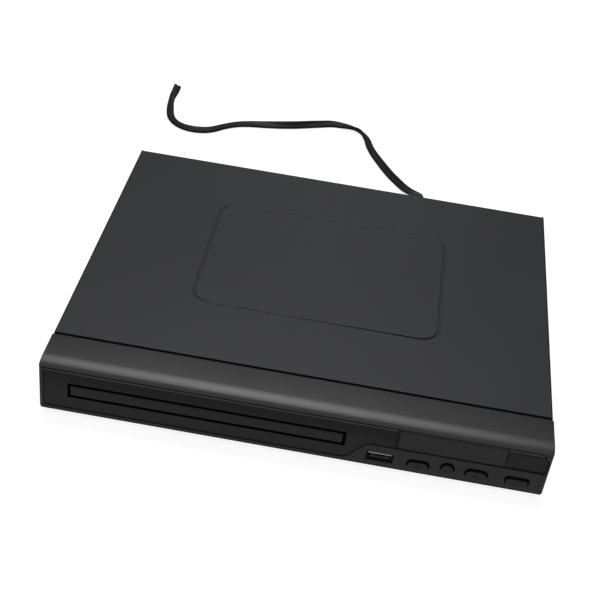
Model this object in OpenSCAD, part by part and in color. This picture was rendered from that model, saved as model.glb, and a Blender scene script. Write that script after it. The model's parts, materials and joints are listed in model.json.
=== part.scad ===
// Compact disc player with a motorised loading tray. Millimetres.
// X runs to the right as seen from the front, Y to the back and Z up.
// The origin lies on the surface that the feet stand on, under the middle of the casing.

/* [Casing] */
// Width over the front bezel
bezel_w = 271; // [270:0.5:273]
// Width over the sheet steel cover
cover_w = 270; // [269.6:0.2:270.6]
// Depth from the face of the bezel to the rear edge of the cover
body_d = 223; // [222:0.5:226]
// Height of the bezel
body_h = 31.5; // [31.5:0.25:34]
// Height of the feet
foot_h = 4; // [3.5:0.25:7]
// Diameter of a foot
foot_d = 16; // [12:0.5:20]
// Thickness of the cover's steel
cover_t = 0.8; // [0.6:0.1:0.9]

/* [Front] */
// Depth of the bezel's top strip, up to the groove before the cover
strip_d = 24.2; // [23.5:0.1:24.6]
// Width of the groove between bezel and cover
seam_w = 1.8; // [0.8:0.1:2.4]
// Radius of the upper arc of the rolled front edge
roll_top = 22; // [18:0.5:26]
// Angle that the upper arc turns through
roll_fall = 20; // [15:2.5:20]
// How far the front panel sits behind the face of the bezel
panel_inset = 0.5; // [0.2:0.1:0.8]
// Gap round the tray flap
flap_gap = 1.1; // [0.5:0.1:1.3]
// How far the keys stand out of the bezel
key_proud = 0.6; // [0.2:0.1:1]

/* [Cover] */
// Length of the pressed rectangle in the cover
emboss_x = 141.8; // [120:1:160]
// Width of the pressed rectangle in the cover
emboss_y = 103.5; // [80:1:115]
// Corner radius of the pressed rectangle
emboss_r = 11; // [8:0.5:20]
// Depth of the pressed groove
emboss_depth = 0.5; // [0.3:0.05:0.6]

/* [Tray and loader] */
// Travel of the tray
tray_travel = 137; // [120:1:138]
// Diameter of the disc recess
disc_d = 121; // [120.6:0.1:121.6]
// Diameter of the small disc recess
small_d = 81.2; // [80.6:0.1:82]
// Sideways travel of the lift slider
slider_travel = 20; // [18:0.5:20]

/* [Rear] */
// How far the sound and picture sockets stand out of the rear edge
socket_out = 7.6; // [6:0.2:8]
// Spacing of the sound and picture sockets
rca_pitch = 14; // [13.5:0.5:16]
// Place of the mains lead along the rear panel
lead_x = 54; // [50:1:66]
// Height of the mains lead's exit
lead_z = 15.5; // [14:0.5:18]

/* [Mains lead] */
// Width of the flat twin lead
lead_w = 6; // [5.2:0.1:6.4]
// Thickness of the flat twin lead
lead_t = 2.9; // [2.6:0.1:3]

/* [Hidden] */

// y of the bezel's face, and the lift that the feet give
yf = -(body_d + socket_out - key_proud) / 2;
lift = foot_h - 4;
// in the drawing frame the bezel's face is y = 0 and the underside of the chassis z = 4
zb = 3.5;
zt = zb + body_h;
zc = zt - 3.5;
bx = bezel_w / 2;
cx = cover_w / 2;
cy0 = strip_d + seam_w;
rear = body_d;
// face of the rear panel
rp = rear - 0.9;

// loader: middle, spindle, gears
lx = -45.65;
sy = 74;
tray_w = 138;
tray_len = 160;
tray_top = 21.6;
tray_bot = 17;
gx = -98.5;
gy = 22;
mesh_m = 0.8;
big_teeth = 30;
pin_teeth = 12;
px = gx + mesh_m * (big_teeth + pin_teeth) / 2;
mx = -38;
my = 20;
pivot_y = 161;
pivot_z = 11;
pin_y = 44;
pin_z = 12.8;
// drop of the follower pin when the traverse is lowered by 2.2 degrees
pin_drop = (pivot_y - pin_y) * sin(2.2);

// front panel outline, tray slot and the zones behind it
panel = [[-132.9, 6.0], [27.6, 6.0], [30.4, 7.2], [38.6, 16.4], [42.2, 18.2], [134.2, 18.2],
  [134.2, 27.2], [130.6, zc + 0.15], [-132.9, zc + 0.15]];
slot_x0 = -119.5 - flap_gap / 2;
slot_x1 = 28.2 + flap_gap / 2;
slot_z0 = 14.6 - flap_gap / 2;
slot_z1 = 22.7 + flap_gap / 2;

// route of the mains lead: x, y, height of its middle, twist of its flat side in degrees
lead_route = [
  [54, 130, 15.5, 0], [54, 137, 15, 0], [53.4, 143.8, 13, 0], [51.8, 150.2, 10, 4], [49.2, 156.4, 6.9, 10],
  [46, 162.4, 4.5, 16], [42.4, 168.4, 3, 22], [38.4, 174.4, 2.5, 26], [33.4, 181.4, 2.4, 28], [28.2, 189.8, 2.3, 26],
  [22.4, 200.6, 2.1, 16], [17.2, 211.2, 1.7, 2], [13.4, 220.4, 2, -12], [11.3, 227.4, 2.3, -24], [8.2, 233.8, 2.6, -38],
  [3.6, 239.3, 2.7, -44], [-2.8, 243.1, 2.2, -20], [-10.4, 244.7, 1.8, 4], [-18.2, 243.7, 2.2, 20], [-26, 240.4, 2.4, 31],
  [-34, 236.8, 2.6, 40], [-44, 232.4, 2.7, 50], [-55, 228.8, 2.6, 44], [-67, 226, 2.2, 24], [-79, 223.6, 1.8, 8],
  [-88, 220.2, 1.6, 0], [-96.4, 214.2, 1.6, -4], [-103.6, 207.6, 1.6, 4], [-110, 203.8, 1.8, 10], [-117.6, 202.4, 1.9, 12],
  [-125.2, 203.8, 1.7, 4], [-131.8, 207.6, 1.7, -4], [-136.6, 213.4, 1.9, -12], [-139.2, 220.4, 2.1, -22], [-140.8, 228, 2.6, -38],
  [-142, 236, 2.9, -60], [-142.8, 244, 3, -66], [-142.7, 251.5, 2.8, -50], [-142.8, 258, 2.4, -30], [-143, 263, 2.1, -20]];

// ---------- shared shapes ----------
module place() translate([0, yf, lift]) children();

module slab(x0, x1, y0, y1, z0, z1) translate([x0, y0, z0]) cube([x1 - x0, y1 - y0, z1 - z0]);
module rod_z(x, y, z0, z1, r) translate([x, y, z0]) cylinder(r = r, h = z1 - z0, $fn = 48);
module rod_y(x, z, y0, y1, r) translate([x, y0, z]) rotate([-90, 0, 0]) cylinder(r = r, h = y1 - y0, $fn = 48);
module rod_x(y, z, x0, x1, r) translate([x0, y, z]) rotate([0, 90, 0]) cylinder(r = r, h = x1 - x0, $fn = 48);

// a flat outline with round corners, made of squares and circles so that its arcs stay true
module round2(x0, x1, y0, y1, r) {
  translate([x0 + r, y0]) square([x1 - x0 - 2 * r, y1 - y0]);
  translate([x0, y0 + r]) square([x1 - x0, y1 - y0 - 2 * r]);
  for (x = [x0 + r, x1 - r], y = [y0 + r, y1 - r]) translate([x, y]) circle(r = r, $fn = 48);
}
// an upright slot with round ends
module slot2(x, y0, y1, w) {
  translate([x - w / 2, y0 + w / 2]) square([w, y1 - y0 - w]);
  for (y = [y0 + w / 2, y1 - w / 2]) translate([x, y]) circle(r = w / 2, $fn = 32);
}
// the same outline in the X Z plane, drawn from y0 back to y1
module xz(y0, y1) translate([0, y1, 0]) rotate([90, 0, 0]) linear_extrude(y1 - y0) children();
// an outline in the Y Z plane, drawn from x0 to x1
module yz(x0, x1) translate([x0, 0, 0]) rotate([90, 0, 90]) linear_extrude(x1 - x0) children();
module xy(z0, z1) translate([0, 0, z0]) linear_extrude(z1 - z0) children();

// pan head screw with a cross recess, its head on z = 0 and its shank below
module screw(len, head_r = 2.8, r = 1.25, head_h = 1.7) {
  difference() {
    union() {
      cylinder(r = head_r, h = head_h * 0.55, $fn = 32);
      translate([0, 0, head_h * 0.55]) cylinder(r1 = head_r, r2 = head_r * 0.68, h = head_h * 0.45, $fn = 32);
    }
    for (a = [0, 90]) rotate(a) translate([-head_r * 0.55, -0.3, head_h - 0.9]) cube([head_r * 1.1, 0.6, 1]);
  }
  translate([0, 0, -len]) cylinder(r = r, h = len, $fn = 32);
}

// involute gear outline with a tooth centred on the X axis
function inv(a) = tan(a) * 180 / PI - a;
function half_angle(teeth, rad, rb, slack) =
  90 / teeth * (1 - slack) + inv(20) - (rad > rb ? inv(acos(rb / rad)) : 0);
module gear2(teeth, m, slack = 0.1) {
  r = teeth * m / 2;
  rb = r * cos(20);
  ra = r + m * 0.92;
  rr = r - m * 1.2;
  steps = [rr, max(rb, rr + 0.05), r, (r + ra) / 2, ra];
  polygon([for (t = [0:teeth - 1]) each concat(
    [for (i = [0:4]) let (q = steps[i], a = 360 * t / teeth - half_angle(teeth, q, rb, slack)) [q * cos(a), q * sin(a)]],
    [for (i = [4:-1:0]) let (q = steps[i], a = 360 * t / teeth + half_angle(teeth, q, rb, slack)) [q * cos(a), q * sin(a)]])]);
}

// smooth curve through a list of points, and a flat tube swept along it
function curve(P, i, t) = let (n = len(P), p0 = P[max(i - 1, 0)], p1 = P[i], p2 = P[i + 1], p3 = P[min(i + 2, n - 1)])
  0.5 * (2 * p1 + (p2 - p0) * t + (2 * p0 - 5 * p1 + 4 * p2 - p3) * t * t + (3 * p1 - p0 - 3 * p2 + p3) * t * t * t);
function refine(P, k) = concat([for (i = [0:len(P) - 2], j = [0:k - 1]) curve(P, i, j / k)], [P[len(P) - 1]]);
function xyz(p) = [p[0], p[1], p[2]];
function unit(v) = v / norm(v);
function ring(P, i, w, t, n) = let (
  c = xyz(P[i]),
  d = unit(xyz(P[min(i + 1, len(P) - 1)]) - xyz(P[max(i - 1, 0)])),
  s = unit(cross(d, [0, 0, 1])),
  u = cross(s, d),
  a = P[i][3],
  wide = s * cos(a) + u * sin(a),
  thin = u * cos(a) - s * sin(a))
  [for (k = [0:n - 1]) let (q = 360 * (k + 0.5) / n)
    c + wide * (w / 2 * sign(cos(q)) * pow(abs(cos(q)), 0.62)) + thin * (t / 2 * sign(sin(q)) * pow(abs(sin(q)), 0.62))];
module sweep(P, w, t, n) {
  m = len(P);
  polyhedron(
    points = [for (i = [0:m - 1]) each ring(P, i, w, t, n)],
    faces = concat(
      [[for (k = [0:n - 1]) k]],
      [for (i = [0:m - 2], k = [0:n - 1]) each let (a = i * n + k, b = i * n + (k + 1) % n) [[a, a + n, b], [b, a + n, b + n]]],
      [[for (k = [n - 1:-1:0]) (m - 1) * n + k]]));
}

// ---------- casing ----------
module cover_outline(r, inset) {
  x = cx - inset;
  z = zt - inset;
  translate([-x, 4]) square([2 * x, z - r - 4]);
  translate([-x + r, z - r - 1]) square([2 * x - 2 * r, r + 1]);
  for (s = [-1, 1]) translate([s * (x - r), z - r]) circle(r = r, $fn = 48);
}
module emboss_path(r, z) {
  hx = emboss_x / 2;
  hy = emboss_y / 2;
  c = emboss_r;
  translate([0.4, 125.15, z]) {
    for (s = [-1, 1]) {
      translate([s * hx, -hy + c, 0]) rotate([-90, 0, 0]) cylinder(r = r, h = 2 * hy - 2 * c, $fn = 48);
      translate([-hx + c, s * hy, 0]) rotate([0, 90, 0]) cylinder(r = r, h = 2 * hx - 2 * c, $fn = 48);
    }
    for (k = [0:3]) translate([(k == 0 || k == 3 ? 1 : -1) * (hx - c), (k < 2 ? 1 : -1) * (hy - c), 0])
      rotate(k * 90) rotate_extrude(angle = 90, $fn = 48) translate([c, 0]) circle(r = r, $fn = 48);
  }
}
module top_cover() color([0.23, 0.235, 0.24]) place() difference() {
  union() {
    difference() {
      xz(cy0, rear) cover_outline(1.2, 0);
      translate([0, 0, -1]) slab(-cx + cover_t, cx - cover_t, cy0 - 1, rear + 1, 3, zt - 1.2 + 1);
      xz(cy0 - 1, rear + 1) cover_outline(0.4, cover_t);
    }
    // lip folded down over the rear panel
    slab(-cx + cover_t, cx - cover_t, rear - 0.8, rear, 26.5, zt - cover_t);
    // bead under the pressed groove
    xy(zt - cover_t - 0.6, zt - cover_t) difference() {
      translate([0.4, 125.15]) round2(-emboss_x / 2 - 1.8, emboss_x / 2 + 1.8, -emboss_y / 2 - 1.8, emboss_y / 2 + 1.8, emboss_r + 1.8);
      translate([0.4, 125.15]) round2(-emboss_x / 2 + 1.8, emboss_x / 2 - 1.8, -emboss_y / 2 + 1.8, emboss_y / 2 - 1.8, emboss_r - 1.8);
    }
  }
  emboss_path(1.5, zt + 1.5 - emboss_depth);
  for (x = [-100, 0, 100]) rod_y(x, 30.2, rear - 2, rear + 1, 1.6);
  for (s = [-1, 1], y = [60, 175]) rod_x(y, 9, s > 0 ? cx - 2 : -cx - 1, s > 0 ? cx + 1 : -cx + 2, 1.6);
}

rca_x = [-92, -92 + rca_pitch, -92 + 2 * rca_pitch];
board_posts = [[44, 44], [122, 44], [44, 112], [122, 112], [44, 134], [122, 134], [44, 208], [122, 208],
  [-110, 195], [-22, 195]];
loader_posts = [[lx - 66, 14], [lx + 66, 14], [lx - 66, 176], [lx + 66, 176]];
module bottom_chassis() color([0.62, 0.63, 0.64]) place() difference() {
  union() {
    slab(-cx + 2, cx - 2, 10.5, 31, 4, 4.8);
    slab(-cx + 1, cx - 1, 31, rp, 4, 4.8);
    for (s = [-1, 1]) slab(s > 0 ? cx - 1.8 : -cx + 1, s > 0 ? cx - 1 : -cx + 1.8, 31, rp, 4, 12.5);
    slab(-cx + 1, cx - 1, rp - 0.8, rp, 4, zt - 0.9);
    // pressed stiffening beads
    for (y = [66, 118]) slab(lx - 60, lx - 48, y, y + 3, 4.8, 5.2);
    slab(-118, -10, 184, 187, 4.8, 5.4);
    for (p = board_posts) rod_z(p[0], p[1], 4.8, 9, 3);
    for (p = loader_posts) rod_z(p[0], p[1], 4.8, 5.2, 3.4);
  }
  for (p = board_posts) rod_z(p[0], p[1], 5.6, 10, 1.3);
  for (p = loader_posts) rod_z(p[0], p[1], 3, 6, 1.3);
  for (p = [[-126, 14], [30, 14], [129, 14]]) rod_z(p[0], p[1], 3, 6, 1.6);
  // vents under the boards
  for (i = [0:8]) xy(3, 6) slot2(59 + i * 6, 52, 100, 2.6);
  for (i = [0:8]) xy(3, 6) slot2(59 + i * 6, 146, 196, 2.6);
  // vents in the rear panel
  for (i = [0:9]) xz(rp - 3, rp + 1) slot2(85 + i * 4.4, 11, 24, 2);
  for (x = rca_x) rod_y(x, 17.5, rp - 3, rp + 1, 4.5);
  xz(rp - 3, rp + 1) round2(-36.2, -19.8, 13.9, 20.7, 0.8);
  rod_y(lead_x, lead_z, rp - 3, rp + 1, 4.6);
  for (x = [-100, 0, 100]) rod_y(x, 30.2, rp - 3, rp + 1, 1.3);
  for (s = [-1, 1], y = [60, 175]) rod_x(y, 9, s > 0 ? cx - 3 : -cx - 1, s > 0 ? cx + 1 : -cx + 3, 1.3);
}

// The front edge rolls over in two arcs that meet without a corner: a wide
// one from the flat top, then a tight one down to the crease in the face,
// 3.5 below the top, where the surface has turned to 33.5 degrees.
roll_low = (3.5 - roll_top * (1 - cos(roll_fall))) / (cos(roll_fall) - sin(33.5));
roll_c = [roll_low * cos(33.5), zt - roll_top + (roll_top - roll_low) * cos(roll_fall)];
roll_y = roll_c[0] + (roll_top - roll_low) * sin(roll_fall);
// profile of the bezel in Y and Z, from its face to the groove
module bezel_profile()
  polygon(concat(
    [[0, zb + 0.9], [0.15, zb + 0.4], [0.4, zb + 0.15], [0.9, zb], [strip_d, zb], [strip_d, zt]],
    [for (a = [90:-2.5:90 - roll_fall]) [roll_y - roll_top * cos(a), zt - roll_top + roll_top * sin(a)]],
    [for (a = [67.5:-2.5:35]) [roll_c[0] - roll_low * cos(a), roll_c[1] + roll_low * sin(a)]],
    [[0, zt - 3.5]]));
keys = ["eject", "play", "stop", "power"];
// outline of a key's recess in X and Z, grown by g
module key_outline(i, g) {
  if (i == 0) round2(61.9 - g, 75.1 + g, 5.9 - g * 0.4, 12.9 + g, 3.3 + g * 0.5);
  if (i == 1) translate([84, 10.2]) circle(r = 4.5 + g, $fn = 48);
  if (i == 2) round2(92.9 - g, 106.4 + g, 6.1 - g * 0.4, 13.7 + g, 3.5 + g * 0.5);
  if (i == 3) round2(114 - g, 128.1 + g, 5.7 - g * 0.4, 13.3 + g, 1.8 + g * 0.5);
}
module key_cap(i) {
  if (i == 0) round2(62.9, 74.1, 6.2, 11.6, 2.6);
  if (i == 1) translate([84, 9.8]) circle(r = 3.6, $fn = 48);
  if (i == 2) round2(93.9, 105.4, 6.4, 12.3, 2.8);
  if (i == 3) round2(115, 127.1, 6, 11.9, 1.2);
}
key_x = [68.5, 84, 99.65, 121.05];
module front_bezel() color([0.22, 0.22, 0.23]) place() {
  difference() {
    union() {
      intersection() {
        yz(-bx, bx) bezel_profile();
        xy(zb - 1, zt + 1) union() {
          round2(-bx, bx, 0, 12, 1.6);
          translate([-bx, 6]) square([2 * bx, strip_d]);
        }
        xz(-1, strip_d + 1) round2(-bx, bx, zb, zt, 1.2);
      }
      // ledge that carries the front edge of the cover
      slab(-cx + 0.9, cx - 0.9, 20, 30, 5, zt - 0.9);
    }
    slab(-bx + 2.2, bx - 2.2, 4.5, 20, zb + 2.2, zt - 2.2);
    slab(-cx + 2.7, cx - 2.7, 19.9, 31, 3, zt - 2.8);
    slab(-bx + 2.2, bx - 2.2, 10.3, strip_d + 1, zb - 1, 6);
    // recess of the front panel
    xz(-1, panel_inset + 2) offset(delta = 0.12) polygon(panel);
    // pocket behind the key band
    slab(36, bx - 2.2, 2.2, 5, zb + 1.5, 17.4);
    // tray slot
    slab(slot_x0 - 0.6, slot_x1 + 0.6, 0, 6, slot_z0 - 0.5, slot_z1 + 0.5);
    // window for the display and hole for the receiver
    slab(58, 111, 0, 6, 20, 30);
    rod_y(120, 23, 0, 6, 3);
    for (i = [0:3]) xz(-1, 4) key_outline(i, 0);
    slab(40.6, 55.1, -1, 6, 7.2, 13.2);
  }
  // screw bosses at the chassis
  for (x = [-126, 30, 129]) difference() {
    union() {
      rod_z(x, 14, 4.8, 12, 3.1);
      slab(x - 1, x + 1, 5, 12, 5.6, 12);
    }
    rod_z(x, 14, 4, 11, 1.2);
  }
  // bosses that carry the front board
  for (x = [60, 77.2, 111]) difference() {
    rod_y(x, 17.6, 2.5, 12.4, 2.2);
    rod_y(x, 17.6, 5, 13, 0.95);
  }
}
module front_panel() color([0.15, 0.15, 0.155]) place() difference() {
  xz(panel_inset, panel_inset + 2) polygon(panel);
  slab(slot_x0, slot_x1, -1, 4, slot_z0, slot_z1);
  slab(56.4, 112.6, -1, 4, 18.7, zc - 0.5);
  xz(-1, 4) polygon([[113.8, 18.9], [133.7, 18.9], [133.7, 27.3], [113.8, 27.3]]);
}
module display_window() color([0.2, 0.2, 0.21, 0.9]) place() {
  slab(56.6, 112.4, panel_inset, panel_inset + 1.6, 18.9, zc - 0.7);
}
module ir_window() color([0.12, 0.11, 0.12]) place() {
  slab(114, 133.5, panel_inset + 0.2, panel_inset + 1.8, 19.1, 27.1);
}
foot_at = [[-112, 30], [112, 30], [-112, rear - 24], [112, rear - 24]];
module rubber_feet() color([0.09, 0.09, 0.09]) for (p = foot_at)
  translate([p[0], p[1] + yf, 0]) difference() {
    union() {
      translate([0, 0, 1]) cylinder(r = foot_d / 2, h = foot_h - 1, $fn = 64);
      cylinder(r = foot_d / 2 - 1, h = 1, $fn = 64);
      translate([0, 0, 1]) rotate_extrude($fn = 64) translate([foot_d / 2 - 1, 0]) circle(r = 1, $fn = 32);
    }
    translate([0, 0, -1]) cylinder(r = 2.6, h = 2.4, $fn = 48);
  }
module cover_screws() color([0.16, 0.16, 0.165]) place() {
  for (x = [-100, 0, 100]) translate([x, rear, 30.2]) rotate([-90, 0, 0]) screw(5, 2.8, 1.22);
  for (s = [-1, 1], y = [60, 175]) translate([s * cx, y, 9]) rotate([0, s * 90, 0]) screw(5, 2.7, 1.22, 1.1);
}
module bezel_screws() color([0.62, 0.62, 0.63]) place()
  for (x = [-126, 30, 129]) translate([x, 14, 4]) rotate([180, 0, 0]) screw(6, 2.6, 1.15, 1.5);

module usb_shell() color([0.72, 0.72, 0.7]) place() difference() {
  slab(41.3, 54.4, 0.6, 12.3, 7.35, 13.05);
  slab(41.65, 54.05, 0, 11.8, 7.7, 12.7);
}
module usb_tongue() color([0.07, 0.07, 0.07]) place() {
  slab(42.3, 53.4, 1.1, 11.7, 8.3, 10);
  slab(41.7, 54, 10.4, 11.7, 7.75, 12.65);
}
module usb_contacts() color([0.8, 0.66, 0.3]) place()
  for (x = [44.35, 46.85, 48.85, 51.35]) slab(x - 0.5, x + 0.5, abs(x - 47.85) > 2 ? 1.5 : 2.5, 10.3, 10, 10.2);

// a key: cap, retaining flange and the stem that works its switch
module key(i) {
  xz(-key_proud, 2.5) key_cap(i);
  xz(2.5, 3.5) intersection() {
    key_outline(i, 0.8);
    translate([50, 5.4]) square([90, 20]);
  }
  rod_y(key_x[i], 9.4, 3.4, 9.2, 1.5);
}
module eject_button() color([0.22, 0.22, 0.23]) place() key(0);
module play_button() color([0.22, 0.22, 0.23]) place() key(1);
module stop_button() color([0.22, 0.22, 0.23]) place() key(2);
module power_button() color([0.22, 0.22, 0.23]) place() key(3);

// ---------- front board ----------
module front_board() color([0.12, 0.3, 0.16]) place() difference() {
  slab(34.5, 131.5, 12.4, 14, 6.2, 31);
  slab(124, 132, 12, 15, 6, 13);
  for (x = [60, 77.2, 111]) rod_y(x, 17.6, 12, 15, 1.1);
}
module key_switches() color([0.08, 0.08, 0.08]) place() for (i = [0:3]) difference() {
  slab(key_x[i] - 3, key_x[i] + 3, 8.9, 12.4, 6.4, 12.4);
  rod_y(key_x[i], 9.4, 8, 10.8, 1.85);
}
module display_module() color([0.2, 0.2, 0.2]) place() slab(62, 107, 6.4, 12.4, 21, 29.4);
module ir_receiver() color([0.1, 0.08, 0.1]) place() {
  slab(117, 123, 8.6, 12.4, 20, 27);
  intersection() {
    translate([120, 8.6, 23]) sphere(r = 2.2, $fn = 32);
    slab(116, 124, 4, 8.7, 18, 28);
  }
}

// ---------- loader ----------
module disc_tray() color([0.14, 0.14, 0.145]) place() {
  difference() {
    slab(lx - tray_w / 2, lx + tray_w / 2, 3, 3 + tray_len, tray_bot, tray_top);
    rod_z(lx, sy, tray_top - 1.7, tray_top + 1, disc_d / 2);
    rod_z(lx, sy, tray_top - 2.9, tray_top + 1, small_d / 2);
    rod_z(lx, sy, tray_bot - 1, tray_top + 1, 21);
    slab(lx - 21, lx + 21, sy, 3 + tray_len + 1, tray_bot - 1, tray_top + 1);
    // finger hollows at the sides of the recess
    for (s = [-1, 1]) translate([lx + s * 62, sy, tray_top + 2.6]) sphere(r = 5.6, $fn = 48);
    // weight-saving pockets under the arms
    for (s = [-1, 1]) slab(lx + s * 46 - 9, lx + s * 46 + 9, 142, 158, tray_bot - 1, tray_top - 2);
  }
  // front wall that carries the flap
  slab(lx - 60, lx + 60, 3, 5.5, 15.6, tray_bot + 0.1);
  // rack
  slab(lx - 65.2, gx - 9.2, 7, 3 + tray_len, 14.4, tray_bot + 0.1);
  xy(14.4, tray_bot + 0.1) rack_teeth2();
}
// rack teeth point to +X, with a gap at gy where the gear has a tooth
module rack_teeth2() {
  p = PI;
  xp = gx - 8;
  for (k = [-1:44]) let (y = gy + (k + 0.5) * p) if (y < 3 + tray_len - 1.2)
    polygon([[xp - 1.3, y - 1.26], [xp, y - 0.72], [xp + 0.92, y - 0.38], [xp + 0.92, y + 0.38], [xp, y + 0.72], [xp - 1.3, y + 1.26]]);
}
module tray_flap() color([0.16, 0.16, 0.165]) place() {
  slab(slot_x0 + flap_gap, slot_x1 - flap_gap, panel_inset, 3, slot_z0 + flap_gap, slot_z1 - flap_gap);
}
lfx = 71.8;
module loader_frame() color([0.13, 0.13, 0.13]) place() difference() {
  union() {
    for (s = [-1, 1]) {
      slab(s > 0 ? lx + 69.6 : lx - lfx, s > 0 ? lx + lfx : lx - 69.6, 6, 180, 5.2, 26.6);
      // ledges under the tray's edges and ribs over them
      slab(s > 0 ? lx + 66.4 : lx - 69.6, s > 0 ? lx + 69.6 : lx - 66.4, 8, 180, 15.6, 16.7);
      for (y = [9, 60, 110]) slab(s > 0 ? lx + 67.4 : lx - 69.6, s > 0 ? lx + 69.6 : lx - 67.4, y, y + 22, 21.9, 23.2);
      // feet tabs
      for (y = [9, 171]) slab(s > 0 ? lx + 61 : lx - 71, s > 0 ? lx + 71 : lx - 61, y, y + 9, 5.2, 6.4);
      // ears of the traverse pivot
      slab(lx + s * 46 - 2, lx + s * 46 + 2, 157, 173, 5.2, 14.4);
    }
    slab(lx - lfx, lx + lfx, 6, 41.9, 5.2, 6);
    slab(lx - lfx, lx + lfx, 6, 7.4, 5.2, 12.4);
    slab(lx - 40, lx + 30, 41.8, 44.8, 5.2, 6);
    // rear beam, low enough for the tray to pass over
    slab(lx - lfx, lx + lfx, 172, 180, 5.2, 13.8);
    // pins and posts of the gears
    rod_z(gx, gy, 5.9, 9, 3);
    rod_z(gx, gy, 5.9, 16.4, 1.5);
    rod_z(px, gy, 5.9, 11.9, 1.5);
    rod_z(px, gy, 5.9, 6.4, 3);
    // motor posts
    for (s = [-1, 1]) slab(mx - 4, mx + 4, my + s * 8 - 1.5, my + s * 8 + 1.5, 5.9, 9.6);
    // guides of the lift slider
    for (x = [lx - 25, lx + 8]) slab(x, x + 8, 40.4, 41.9, 5.9, 13);
    // saddles of the clamp bridge
    for (s = [-1, 1]) slab(s > 0 ? lx + 68 : lx - lfx, s > 0 ? lx + lfx : lx - 68, sy - 17, sy + 17, 24.4, 26.6);
  }
  for (s = [-1, 1]) rod_x(pivot_y, pivot_z, lx + s * 46 - 3, lx + s * 46 + 3, 1.56);
  for (p = loader_posts) rod_z(p[0], p[1], 4, 15, 1.6);
  // step over the lower lip of the bezel
  slab(lx - 73, lx + 73, 5, 10.6, 5, 6);
}
module loader_screws() color([0.62, 0.62, 0.63]) place() {
  for (p = [loader_posts[0], loader_posts[1]]) translate([p[0], p[1], 6.4]) screw(2.2, 2.6, 1.2, 1.5);
  for (p = [loader_posts[2], loader_posts[3]]) translate([p[0], p[1], 13.8]) screw(9.6, 2.6, 1.2, 1.5);
}
module tray_gear() color([0.85, 0.83, 0.78]) place() difference() {
  union() {
    translate([gx, gy, 9.2]) linear_extrude(2) gear2(big_teeth, mesh_m);
    rod_z(gx, gy, 11.2, 14.3, 3.2);
    translate([gx, gy, 14.3]) rotate(180) linear_extrude(2.4) gear2(16, 1);
  }
  rod_z(gx, gy, 9, 17, 1.56);
}
module pulley_gear() color([0.85, 0.83, 0.78]) place() difference() {
  union() {
    rod_z(px, gy, 6.7, 7.05, 12);
    rod_z(px, gy, 7.05, 8.45, 11.1);
    rod_z(px, gy, 8.45, 8.8, 12);
    translate([px, gy, 8.8]) rotate(180 + 180 / pin_teeth) linear_extrude(2.6) gear2(pin_teeth, mesh_m);
  }
  rod_z(px, gy, 6, 12, 1.56);
}
module motor_pulley() color([0.85, 0.83, 0.78]) place() {
  rod_z(mx, my, 6.7, 7.05, 3.5);
  rod_z(mx, my, 7.05, 8.45, 2.5);
  rod_z(mx, my, 8.45, 8.8, 3.5);
  rod_z(mx, my, 8.8, 12, 0.75);
}
module loading_motor() color([0.7, 0.7, 0.69]) place() difference() {
  union() {
    rod_z(mx, my, 9.6, 16, 10);
    rod_z(mx, my, 16, 16.4, 3);
  }
  rod_z(mx, my, 9, 12.2, 0.8);
}
module drive_belt() color([0.06, 0.06, 0.06]) place() translate([0, 0, 7.3]) linear_extrude(0.9) difference() {
  hull() {
    translate([px, gy]) circle(r = 12.5, $fn = 64);
    translate([mx, my]) circle(r = 3.9, $fn = 32);
  }
  hull() {
    translate([px, gy]) circle(r = 11.5, $fn = 64);
    translate([mx, my]) circle(r = 2.9, $fn = 32);
  }
}
module tray_switch() color([0.1, 0.1, 0.1]) place() {
  slab(lx + 40, lx + 48, 9, 13, 6, 12);
  slab(lx + 43.5, lx + 44.5, 9.4, 10.6, 12, 14.6);
}
module lift_slider() color([0.8, 0.8, 0.76]) place() difference() {
  slab(lx - 33, lx + 12, 42.4, 44.6, 6.3, 15.6);
  // sloping slot of the follower pin
  translate([lx, 40, pin_z]) rotate([0, -atan2(pin_drop, slider_travel), 0]) translate([-norm([pin_drop, slider_travel]), 0, -1.5])
    cube([norm([pin_drop, slider_travel]), 8, 3]);
  rod_y(lx, pin_z, 40, 48, 1.5);
  rod_y(lx - slider_travel, pin_z - pin_drop, 40, 48, 1.5);
}
module clamp_bridge() color([0.66, 0.67, 0.68]) place() difference() {
  union() {
    slab(lx - lfx, lx + lfx, sy - 17, sy + 17, 26.6, 27.6);
    for (s = [-1, 1]) slab(lx - lfx, lx + lfx, sy + s * 16.5 - 0.5, sy + s * 16.5 + 0.5, 27.6, 29.4);
  }
  rod_z(lx, sy, 26, 30, 13.6);
  for (s = [-1, 1]) rod_z(lx + s * 69.8, sy, 26, 30, 1.6);
}
module clamp_puck() color([0.15, 0.15, 0.15]) place() difference() {
  union() {
    rod_z(lx, sy, 22.2, 25.4, 15.2);
    rod_z(lx, sy, 25.4, 28.6, 12.4);
    rod_z(lx, sy, 28.6, 29.8, 15.4);
  }
  rod_z(lx, sy, 22, 24.3, 8.6);
  for (a = [0:60:300]) translate([lx + 9 * cos(a), sy + 9 * sin(a), 29]) cylinder(r = 1.5, h = 2, $fn = 32);
}

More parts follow.
